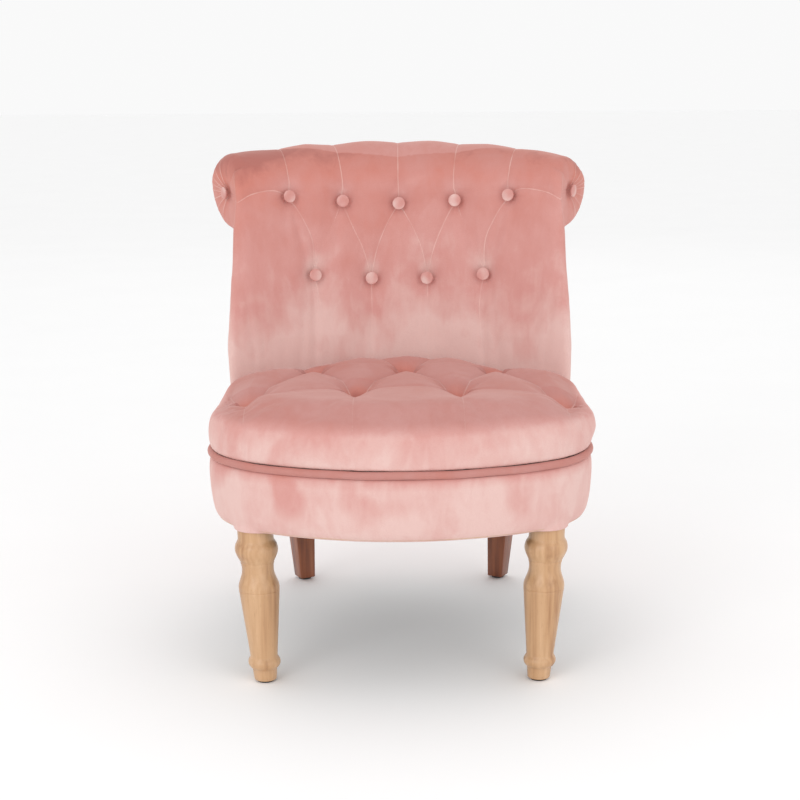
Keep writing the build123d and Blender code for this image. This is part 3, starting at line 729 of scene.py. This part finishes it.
# How far the cushion's edge stands in from the plan, at each height.
EDGE = [(5.5, 326.4), (3.0, 328.4), (1.0, 333), (0.0, 340), (-0.3, 349), (0.4, 359), (2.8, 369),
        (7, 378.5), (13.5, 387), (22, 394.5), (34, 400.5), (50, 405), (72, 408)]
CUSHION_REAR, CUSHION_REAR_ARC = 147, 424
rings = []
for inset, z in EDGE:
    rings.append([(x, y, z) for x, y in seat_outline(inset, CUSHION_REAR, CUSHION_REAR_ARC)])
edge = np.array(rings[-1])
middle = np.array((0, -80, 411))
for share in (0.25, 0.5, 0.75, 0.92):
    rings.append([tuple(p) for p in edge * (1 - share) + middle * share])
low = np.array(rings[0])
rings.insert(0, [tuple(p) for p in (low + (np.array((0, -80, 326.4)) - low) * 0.5)])
cushion = rings_mesh("cushion", rings)
closed_outwards(cushion)
one_skin(cushion, 0.005, 4)
points = points_of(cushion)
arc = np.sqrt(np.maximum(CUSHION_REAR_ARC**2 - points[:, 0] ** 2, 0))
rear = points[:, 1] + CUSHION_REAR_ARC - CUSHION_REAR - arc > -9
held = (points[:, 2] < 331) | (rear & (points[:, 2] < 385))
for x, y in TUFTS:
    held |= (np.hypot(points[:, 0] - x, points[:, 1] - y) < 9) & (points[:, 2] > 370)
swollen(cushion, held, 7.0)
shaped(cushion, "SUBSURF", levels=1, render_levels=1)
folds = [
    ([(-65, -88), (-88, -20), (-136, 60)], (1, 0.75, 1)),
    ([(-65, -88), (-40, -25), (9, 55)], (1, 0.75, 1)),
    ([(86, -88), (60, -25), (9, 55)], (1, 0.75, 1)),
    ([(86, -88), (108, -20), (148, 60)], (1, 0.75, 1)),
    ([(-224, -118), (-192, -40), (-136, 60)], (1, 0.6, 1)),
    ([(237, -118), (204, -40), (148, 60)], (1, 0.6, 1)),
    ([(-224, -118), (-250, -70), (-268, 0)], (1, 0.5, 0)),
    ([(237, -118), (258, -70), (270, 0)], (1, 0.5, 0)),
    ([(-136, 60), (-176, 95), (-215, 130)], (1, 0.4, 0.02)),
    ([(-136, 60), (-100, 105), (-78, 150)], (1, 0.4, 0.02)),
    ([(9, 55), (-24, 100), (-46, 152)], (1, 0.4, 0.02)),
    ([(9, 55), (46, 100), (62, 152)], (1, 0.4, 0.02)),
    ([(148, 60), (112, 105), (92, 150)], (1, 0.4, 0.02)),
    ([(148, 60), (190, 95), (222, 130)], (1, 0.4, 0.02)),
]
seams = [
    ([(-65, -88), (-66, -330)], (0.5, 0.16)),
    ([(86, -88), (89, -330)], (0.5, 0.16)),
    ([(-224, -118), (-219, -275)], (0.5, 0.12)),
    ([(237, -118), (237, -260)], (0.5, 0.12)),
]
points = points_of(cushion)
normal = normals_of(cushion)
side, near, depth = nearest_fold(points[:, :2], folds + seams)
_, away, _ = nearest_fold(points[:, :2], folds)
upper = lerp(points[:, 2], (345, 385), (0, 1))
top = lerp(points[:, 2], (372, 392), (0, 1)) * np.clip(normal[:, 2] * 1.4, 0, 1)
puffed = lerp(points[:, 1], (-330, -250, -120, -60, 60, 110), (0.2, 0.6, 0.7, 1, 1, 0.6))
rise = 6.5 * (1 - np.exp(-((away / 34) ** 2))) * puffed
valley = 7.0 * depth * np.exp(-near / 7.0)
line_depth = 1.3 * np.exp(-((near / 3.2) ** 2)) * np.minimum(depth * 3, 1)
dip = np.zeros(len(points))
hole = np.zeros(len(points))
for x, y in TUFTS:
    across, behind = points[:, 0] - x, points[:, 1] - y
    tight = np.hypot(across, behind)
    reach = 66 if y < 0 else 58
    wide = np.abs(across) / (11 + 0.5 * np.maximum(behind, 0))
    wedge = np.clip(1 - behind / reach, 0, 1) * np.exp(-(wide**3)) * (behind > 0)
    ahead = np.exp(-((np.hypot(across * 0.8, behind) / 15) ** 2)) * (behind <= 0)
    dip = np.maximum(dip, (24 if y < 0 else 17) * (wedge + ahead))
    if y < 0:
        channel = np.exp(-((across / 17) ** 2)) * np.clip(1 + behind / 130, 0, 1) * (behind < 0)
        dip = np.maximum(dip, 13 * channel)
    hole = np.maximum(hole, 5 * np.exp(-tight / 8))
down = top * (rise - valley) - top * (dip + hole)
CROWN_Y, CROWN_Z = (-260, -110, -10, 60, 100, 130, 150), (-4, -17, -11, -4, 7, 14, 12)
down += top * lerp(points[:, 1], CROWN_Y, CROWN_Z)
points[:, 2] += np.where(points[:, 2] > 350, down, 0)
groove = (1 - top) * line_depth * lerp(points[:, 2], (328, 340), (0.4, 1))
points -= normal * groove[:, None]
uneven = cloudy(points, 60, 31) * 1.2 + cloudy(points, 18, 32) * 0.25
points += normal * (uneven * upper)[:, None]
shoulder = lerp(points[:, 2], (335, 355, 385, 400), (0, 1, 1, 0.3))
points[:, 0] += 5 * lerp(points[:, 0], (190, 270), (0, 1)) * shoulder
put_points(cushion, points)
# Painted shade: the pockets between the pillows are darker salmon.
shaded_pocket = lerp(dip, (4, 13), (0, 1)) * top * lerp(normal[:, 1], (-0.05, -0.25), (0.35, 1))
# Painted shade by height: pale low on the sides, darker up the sides and on the top, with random
# clouds of pile tone.
nap_and_shade = lerp(points[:, 2], (332, 352, 376, 394), (0.9, 0.84, 0.72, 0.56))
nap_and_shade = nap_and_shade * (1 - top) + top * 0.46
nap_and_shade = nap_and_shade * (1 - shaded_pocket) + shaded_pocket * 0.14
nap_and_shade += cloudy(points * (1, 1, 0.7), 75, 33) * 0.14
# The top gets painted darkening too, less in the pockets.
painted_top_shade = top * (1 - 0.75 * shaded_pocket)
strong = np.clip(depth * (0.3 + top), 0, 1)
keep_facts(cushion, side / 1000, (near + (1 - strong) * 4.0) / 1000, nap_and_shade, painted_top_shade)
settled(cushion, "seat_cushion", velvet("velvet_on_seat", (0.5, 0.2, 0.1)), 80)
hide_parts("seat_cover", "seat_wadding", "seat_foam")


# ---------------------------------------------------------------- inside back and scroll
# One piece of velvet over foam and wadding covers the curved back and rolls over
# the scroll. Nine ties pull it in under the buttons, pleats run between them, and
# the two scroll ends are gathered to a button.

LEAN = math.radians(8.53)
TILT = math.radians(10.5)
AXIS = np.array((0, -253.25, 483.8))
SCROLL_ARC, SCROLL_Y, SCROLL_Z, ROLL = 490, 275, 685, 60
HUB = np.array((0, SCROLL_Y - SCROLL_ARC * math.cos(TILT), SCROLL_Z - SCROLL_ARC * math.sin(TILT)))
HUB_BACK = np.array((0, math.cos(TILT), math.sin(TILT)))
HUB_UP = np.array((0, -math.sin(TILT), math.cos(TILT)))
UPPER = [(-176, 664), (-91, 654), (0, 649), (91, 654), (176, 664)]
LOWER = [(-136, 537), (-45, 529), (45, 529), (136, 537)]


def leaning(x, z, radius):
    """A point of the back at a side place and height, on an arc of that radius."""
    local = np.sqrt(radius**2 - x**2)
    along = (z - AXIS[2] + local * math.sin(LEAN)) / math.cos(LEAN)
    return np.array((x, AXIS[1] + local * math.cos(LEAN) + along * math.sin(LEAN), z))


def scroll_frame(angle):
    """Middle of the scroll at that angle, with its outward, upward and end directions."""
    side = np.array((1.0, 0, 0))
    out = HUB_BACK * math.cos(angle) + side * math.sin(angle)
    end = side * math.cos(angle) - HUB_BACK * math.sin(angle)
    return HUB + out * SCROLL_ARC, out, HUB_UP, end


def half_width(z):
    heights = (228, 330, 379, 435, 505, 566, 603, 690)
    return float(lerp(z, heights, (269.5, 269.5, 273, 275.5, 270, 264.5, 263, 260)))


# The front and rear faces of the padding are arcs about the same upright line.
FRONT, REAR = 433.0, 503.0
rings = []
for z in [319.0, *np.linspace(326, 655, 42)]:
    wide = half_width(z) - 1.5
    ring = []
    for x in np.linspace(-wide, wide, 73):
        soft = 7 * max(0.0, 1 - (wide - abs(x)) / 12) ** 2
        ring.append(tuple(leaning(x, z, FRONT + soft)))
    for x in np.linspace(wide, -wide, 73):
        ring.append(tuple(leaning(x, z, REAR)))
    rings.append(ring)
slab = rings_mesh("slab", rings, fans=False)
closed_outwards(slab)
rings = []
BROW_HALF = 260.0
for x in np.linspace(-BROW_HALF, BROW_HALF, 81):
    soft = 8 * max(0.0, 1 - (BROW_HALF - abs(x)) / 14) ** 2
    centre, out, up, end = scroll_frame(math.asin(x / SCROLL_ARC))
    low = leaning(x, 648, FRONT)
    top = centre + up * (59.5 - soft * 0.8)
    ring = [leaning(x, z, FRONT) + np.array((0, soft, 0)) for z in (560, 585, 610, 630)]
    for turn in np.linspace(0, math.pi / 2, 18):
        y = top[1] - (top[1] - low[1] - soft) * math.cos(turn)
        ring.append(np.array((x, y, low[2] + (top[2] - low[2]) * math.sin(turn))))
    ring += [np.array((x, top[1], 640.0)), leaning(x, 560, FRONT) + np.array((0, 40, 0))]
    rings.append([tuple(p) for p in ring])
brow = rings_mesh("brow", rings)
closed_outwards(brow)
rings = []
ROLL_END = math.radians(33.7)
# How far each ring of a scroll end reaches past it, and its radius, from the rim inwards.
CAPS = [(-9, 62), (-2, 62.4), (2.5, 60), (5.6, 55.5), (7.6, 48), (8.4, 38), (7.8, 27), (6.0, 18),
        (3.6, 11), (2.0, 6)]
tours = [(-ROLL_END, -reach, radius) for reach, radius in CAPS[::-1]]
tours += [(angle, 0, ROLL) for angle in np.linspace(-ROLL_END + 0.02, ROLL_END - 0.02, 60)]
tours += [(ROLL_END, reach, radius) for reach, radius in CAPS]
for angle, reach, radius in tours:
    centre, out, up, end = scroll_frame(angle)
    centre = centre + end * reach
    turns = np.linspace(0, 2 * math.pi, 72, endpoint=False)
    rings.append([centre + radius * (out * math.cos(t) + up * math.sin(t)) for t in turns])
roll = rings_mesh("roll", rings)
closed_outwards(roll)
deselected()
for shell in (slab, brow, roll):
    shell.select_set(True)
bpy.context.view_layer.objects.active = slab
bpy.ops.object.join()
back = slab
one_skin(back, 0.005, 5)


def scroll_place(points):
    """Each point about the scroll: its angle along it, distance out and turn round it."""
    local = points - HUB
    x, y, z = local[:, 0], local @ HUB_BACK, local @ HUB_UP
    return np.arctan2(x, y), np.hypot(x, y) - SCROLL_ARC, z


def spread_out(points):
    """The front and the roll laid flat: across, and up over the top and down behind."""
    angle, far, up = scroll_place(points)
    turn = np.arctan2(up, -far)
    rolled = (turn > 0) | (far > 0)
    turn = np.where(turn < -1.2, turn + 2 * math.pi, turn)
    level = SCROLL_Z - 15 * (points[:, 0] / 272) ** 2 - np.hypot(up, far) * math.sin(TILT)
    across = np.where(rolled, 430 * np.sin(angle), points[:, 0])
    height = np.where(rolled, level + 62 * turn, points[:, 2])
    return across, height, turn, rolled


points = points_of(back)
across, height, turn, rolled = spread_out(points)
angle, far, up = scroll_place(points)
facing = normals_of(back)
front_side = facing[:, 1] < -0.2
held = (points[:, 2] < 332) | (~front_side & ~rolled) | (rolled & (turn > 2.2))
held |= (np.abs(angle) > ROLL_END - 0.01) & (np.hypot(up, far) < 68)
for x, z in UPPER + LOWER:
    held |= front_side & (np.hypot(points[:, 0] - x, points[:, 2] - z) < 9)
swollen(back, held, 6.0)
shaped(back, "SUBSURF", levels=1, render_levels=1)
points = points_of(back)
facing = normals_of(back)
across, height, turn, rolled = spread_out(points)
angle, far, up = scroll_place(points)
over = SCROLL_Z + ROLL * 2.7
folds = [
    ([(-176, 664), (-173, 720), (-168, 780), (-166, over)], (1, 0.5, 0.4, 0.1)),
    ([(-91, 654), (-92, 710), (-93, 780), (-93, over)], (1, 0.6, 0.5, 0.1)),
    ([(0, 649), (-1, 710), (-1, 780), (-1, over)], (1, 0.6, 0.5, 0.1)),
    ([(91, 654), (88, 710), (86, 780), (86, over)], (1, 0.6, 0.5, 0.1)),
    ([(176, 664), (172, 720), (166, 780), (164, over)], (1, 0.5, 0.4, 0.1)),
    ([(-176, 664), (-200, 675), (-236, 671), (-266, 655)], (0.9, 0.6, 0.5, 0.25)),
    ([(176, 664), (198, 676), (236, 672), (266, 658)], (0.9, 0.6, 0.5, 0.25)),
    ([(-176, 664), (-153, 625), (-139, 590), (-136, 537)], (0.9, 0.55, 0.6, 1)),
    ([(-91, 654), (-76, 615), (-58, 575), (-45, 529)], (0.9, 0.45, 0.45, 0.9)),
    ([(0, 649), (-20, 615), (-36, 575), (-45, 529)], (0.9, 0.5, 0.5, 0.9)),
    ([(0, 649), (20, 615), (37, 575), (45, 529)], (0.9, 0.45, 0.45, 0.9)),
    ([(91, 654), (72, 615), (56, 575), (45, 529)], (0.9, 0.55, 0.5, 0.9)),
    ([(176, 664), (153, 625), (139, 590), (136, 537)], (0.9, 0.6, 0.6, 1)),
    ([(-91, 654), (-106, 620), (-126, 580), (-136, 537)], (0.6, 0.12, 0.12, 0.6)),
    ([(91, 654), (104, 620), (124, 580), (136, 537)], (0.6, 0.12, 0.12, 0.6)),
    ([(-136, 537), (-130, 500), (-124, 468)], (0.8, 0.3, 0.0)),
    ([(-45, 529), (-45, 490), (-44, 440)], (0.7, 0.22, 0.0)),
    ([(45, 529), (46, 490), (46, 440)], (0.7, 0.22, 0.0)),
    ([(136, 537), (130, 490), (132, 440), (136, 400)], (0.8, 0.4, 0.3, 0.15)),
]
flat = np.stack([across, height], 1)
side, near, depth = nearest_fold(flat, folds)
on_front = (rolled & (turn < 2.9)) | (facing[:, 1] < -0.05)
inside = np.clip((272 - np.abs(points[:, 0])) / 10, 0, 1)
beside = np.clip((ROLL_END - np.abs(angle)) / 0.02, 0, 1)
on_cover = np.where(on_front, 1.0, 0.0) * np.where(rolled & (turn > 0.9), beside, inside)
rise = 3.4 * (1 - np.exp(-((near / 30) ** 2)))
valley = 2.6 * depth * np.exp(-near / 5.0) + 0.8 * depth * np.exp(-((near / 2.6) ** 2))
dip = np.zeros(len(points))
for x, z in UPPER + LOWER:
    out = np.hypot(across - x, (height - z) * 0.95)
    dip = np.maximum(dip, 8.5 * np.exp(-((out / 17) ** 1.7)))
fade = lerp(points[:, 2], (395, 440), (0, 1))
move = on_cover * (rise * fade - valley - dip)
slow = cloudy(points, 80, 41) * 1.6 + cloudy(points, 26, 42) * 0.35
move += slow * np.where(facing[:, 1] > 0.3, 0.3, 1.0)
spin = np.arctan2(up, far)
distance = np.hypot(up, far)
ends = (np.abs(angle) > ROLL_END - 0.012) & (distance < 67) & (far > -6)
gather = np.zeros(len(points))
end_side, end_near = np.full(len(points), 1.0), np.full(len(points), 1.0)
for ray in (-1.2, -0.78, -0.42, -0.1, 0.16, 0.42, 0.8, 1.2):
    wrapped = (spin - ray + math.pi) % (2 * math.pi) - math.pi
    off = np.sin(wrapped) * distance
    good = (np.cos(wrapped) > 0) & ends & (np.abs(off) < end_near * 1000)
    end_near = np.where(good, np.abs(off) / 1000, end_near)
    end_side = np.where(good, off / 1000, end_side)
    crest = np.exp(-((off / 2.2) ** 2)) * (np.cos(wrapped) > 0)
    gather = np.maximum(gather, crest * lerp(distance, (8, 14, 40, 60), (1, 1.4, 0.9, 0.0)))
move += np.where(ends, gather * 1.5 - 1.5 * np.exp(-((distance / 13) ** 2)), 0)
moved = points + facing * move[:, None]
upper = lerp(points[:, 2], (672, 716), (0, 1))
droop = 6 * np.clip((-points[:, 0] - 212) / 80, 0, 1) ** 2
droop += 4 * np.clip((points[:, 0] - 90) / 130, 0, 1)
droop += 11 * np.clip((points[:, 0] - 212) / 80, 0, 1) ** 2
moved[:, 2] -= droop * upper
put_points(back, moved)
side = np.where(ends, end_side, side / 1000)
near = (near + (1 - np.clip(on_cover * depth, 0, 1)) * 4.0) / 1000
near = np.where(ends, np.where(distance > 9, end_near, 1.0), near)
# Painted shade by height: pale low down, darkest on the top of the roll.
SHADE_HEIGHTS, SHADE_BY_HEIGHT = (400, 440, 520, 600, 680, 700, 735), (1.08, 1.0, 0.7, 0.6, 0.46, 0.28, 0.12)
nap_and_shade = lerp(points[:, 2], SHADE_HEIGHTS, SHADE_BY_HEIGHT)
# Darker towards the left above the lower buttons.
nap_and_shade -= 0.16 * lerp(points[:, 0], (-220, -140), (1, 0)) * lerp(points[:, 2], (430, 520), (0, 1))
nap_and_shade += cloudy(points * (1, 0.6, 0.55), 90, 43) * 0.18 + cloudy(points, 30, 44) * 0.08
for x, z in UPPER + LOWER:
    nap_and_shade += 0.28 * np.exp(-(((across - x) / 16) ** 2 + ((height - z - 16) / 16) ** 2))
nap_and_shade = np.where(points[:, 1] > 230, nap_and_shade * 0.5 + 0.35, nap_and_shade)
nap_and_shade -= np.where(ends, 0.1, 0)
# Painted darkening on the top of the roll, less behind.
painted_top_shade = lerp(moved[:, 2], (690, 728), (0, 0.75)) * np.where(points[:, 1] > 230, 0.6, 1)
keep_facts(back, side, near, nap_and_shade, painted_top_shade)
settled(back, "buttoned_back", velvet("velvet_on_back", (0.1, 0.7, 0.4)), 80)
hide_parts("inside_back_cover", "scroll_cover", "back_wadding", "back_foam",
            "scroll_wadding", "scroll_foam")
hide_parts("scroll_end_cover_left", "scroll_end_cover_right", "scroll_end_pad_left",
            "scroll_end_pad_right")
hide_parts("outside_back_wadding")


# ---------------------------------------------------------------- buttons
# Metal shells covered in the same velvet, pulled in by twine through the back.
# Each is domed, with the velvet drawn over its rim, and no two sit quite alike.


BUTTON_RADIUS, BUTTON_DEPTH = 0.0102, 0.0042
DOME = [(0.0009, 0.0006), (0.0010, -0.0002), (0.0030, 0.0002), (0.0028, 0.0001)]


def covered_button(middle, direction, roll):
    deselected()
    bpy.ops.mesh.primitive_cylinder_add(
        vertices=40, radius=BUTTON_RADIUS, depth=BUTTON_DEPTH, location=(0, 0, BUTTON_DEPTH / 2)
    )
    button = bpy.context.object
    bpy.ops.object.mode_set(mode="EDIT")
    bpy.ops.mesh.select_mode(type="FACE")
    bpy.ops.mesh.select_all(action="DESELECT")
    bpy.ops.object.mode_set(mode="OBJECT")
    for face in button.data.polygons:
        face.select = face.normal.z > 0.9
    bpy.ops.object.mode_set(mode="EDIT")
    for thickness, rise in DOME:
        bpy.ops.mesh.inset(thickness=thickness, depth=rise)
    bpy.ops.object.mode_set(mode="OBJECT")
    shaped(button, "SUBSURF", levels=2, render_levels=2)
    button.rotation_mode = "QUATERNION"
    spun = Matrix.Rotation(roll, 3, "Z").to_quaternion()
    button.rotation_quaternion = Vector(direction).to_track_quat("Z", "Y") @ spun
    button.location = Vector(middle) / 1000
    bpy.ops.object.transform_apply(location=True, rotation=True, scale=True)
    return button


def button_row(name, places, replaced, seed):
    made = [covered_button(*place) for place in places]
    deselected()
    for one in made:
        one.select_set(True)
    bpy.context.view_layer.objects.active = made[0]
    bpy.ops.object.join()
    row = made[0]
    points = points_of(row)
    keep_facts(row, 1.0, 1.0, 0.78 + cloudy(points, 14, seed) * 0.4)
    settled(row, name, velvet("velvet_on_" + name, (0.2 * seed, 0.4, 0.3)), 60)
    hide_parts(replaced)


def back_direction(x):
    local = math.sqrt(430**2 - x**2)
    return -np.array((x, local * math.cos(LEAN), -local * math.sin(LEAN))) / 430


tilts = [(0.05, 0.1), (-0.08, 0.02), (0.03, -0.06), (0.1, 0.05), (-0.06, 0.08)]
for name, group, replaced, seed in (("upper_buttons", UPPER, "back_buttons_upper", 1),
                                    ("lower_buttons", LOWER, "back_buttons_lower", 2)):
    places = []
    for i, (x, z) in enumerate(group):
        direction = back_direction(x) + np.array((tilts[i][0], 0, tilts[i][1]))
        places.append((leaning(x, z, 430) + back_direction(x) * 0.3, direction, i * 1.1))
    button_row(name, places, replaced, seed)
places = []
for side in (-1, 1):
    centre, out, up, end = scroll_frame(side * ROLL_END)
    places.append((centre + side * end * 11.5 + out, side * end + out * 0.1, 0.4))
button_row("scroll_buttons", places, "scroll_end_buttons", 3)


# ---------------------------------------------------------------- outside back
# A plain panel of velvet over thin wadding closes the rear of the back. It is
# tacked under the scroll, blind-stitched down the sides and stapled underneath.

PANEL_LOW, PANEL_HIGH, PANEL_HALF = 226.5, 628, 270
steps = np.linspace(-1, 1, 109)
grid = []
for share in np.linspace(0, 1, 81):
    row = []
    for step in steps:
        x = step * (half_width(PANEL_LOW + 400 * share) - 0.4)
        top = PANEL_HIGH - 15 * (x / PANEL_HALF) ** 2
        z = PANEL_LOW + (top - PANEL_LOW) * share
        edge_gap = min(PANEL_HALF * (1 - abs(step)), (z - PANEL_LOW) * 1.2)
        swell = 1.8 * (1 - math.exp(-edge_gap / 18))
        row.append(leaning(x, z, 503.6 + swell))
    grid.append(row)
grid = np.array(grid)
count = len(steps)
faces = []
for first in range(0, (len(grid) - 1) * count, count):
    for i in range(first, first + count - 1):
        faces.append((i, i + 1, i + count + 1, i + count))
panel = raw_mesh("panel", grid.reshape(-1, 3), faces)
points = points_of(panel)
ripple = cloudy(points * (1, 1, 0.4), 60, 51) * 0.8 + cloudy(points, 20, 52) * 0.2
put_points(panel, points + normals_of(panel) * -np.abs(ripple * 0.5)[:, None])
chosen(panel)
if normals_of(panel)[:, 1].mean() < 0:
    all_in_edit_mode()
    bpy.ops.mesh.flip_normals()
    bpy.ops.object.mode_set(mode="OBJECT")
shaped(panel, "SOLIDIFY", thickness=0.0014, offset=-1)
points = points_of(panel)
nap_and_shade = 0.5 + cloudy(points * (1, 1, 0.6), 110, 53) * 0.4
# Painted shade: paler towards the bottom of the panel.
nap_and_shade += lerp(points[:, 2], (230, 600), (0.2, -0.05))
keep_facts(panel, 1.0, 1.0, nap_and_shade)
panel_velvet = velvet("velvet_on_outside_back", (0.6, 0.3, 0.8))
settled(panel, "outside_back_panel", panel_velvet, 60)
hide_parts("outside_back_cover")


# ---------------------------------------------------------------- floor, light and camera
# A plain pale studio floor under large soft lights, seen from just above the
# height of the scroll, straight in front of the chair.

deselected()
bpy.ops.mesh.primitive_plane_add(size=60, location=(0, 0, 0))
floor = bpy.context.object
floor.name = "floor"
ground, tree, shader = finish_named("studio_floor", 0.9, Specular_IOR_Level=0.1)
place = own_place(tree)
tint = scaled_noise(tree, place, (3, 3, 3), 2)
whites = [(0.3, (0.975, 0.975, 0.975, 1)), (0.7, (0.985, 0.985, 0.985, 1))]
dyed(tree, shader, ramp(tree, tint, whites))
floor.data.materials.append(ground)
world = bpy.data.worlds.new("studio")
bpy.context.scene.world = world
world.use_nodes = True
world.node_tree.nodes["Background"].inputs["Color"].default_value = (1, 1, 1, 1)
world.node_tree.nodes["Background"].inputs["Strength"].default_value = 0.95
LIGHTS = [("key", (-2.0, -3.2, 1.9), 1.8, 24), ("fill", (2.2, -3.0, 1.4), 2.0, 14),
          ("top", (0.2, 0.4, 3.2), 2.4, 1.5), ("rear", (0.6, 4.5, 3.2), 3.0, 6)]
for name, spot, size, power in LIGHTS:
    data = bpy.data.lights.new(name, "AREA")
    data.energy = power
    data.size = size
    lamp = bpy.data.objects.new(name, data)
    lamp.location = spot
    lamp.rotation_mode = "QUATERNION"
    lamp.rotation_quaternion = (Vector((0, 0, 0.4)) - Vector(spot)).to_track_quat("-Z", "Y")
    bpy.context.scene.collection.objects.link(lamp)
lens = bpy.data.cameras.new("camera")
lens.lens = 74.3
lens.sensor_width = 36
camera = bpy.data.objects.new("camera", lens)
camera.location = (-0.001, -2.498, 0.867)
YAW, PITCH, ROLLED = -0.0003, -0.199, -0.007
aim = Matrix.Rotation(YAW, 4, "Z") @ Matrix.Rotation(math.pi / 2 + PITCH, 4, "X")
camera.rotation_euler = (aim @ Matrix.Rotation(ROLLED, 4, "Z")).to_euler()
bpy.context.scene.collection.objects.link(camera)
bpy.context.scene.camera = camera
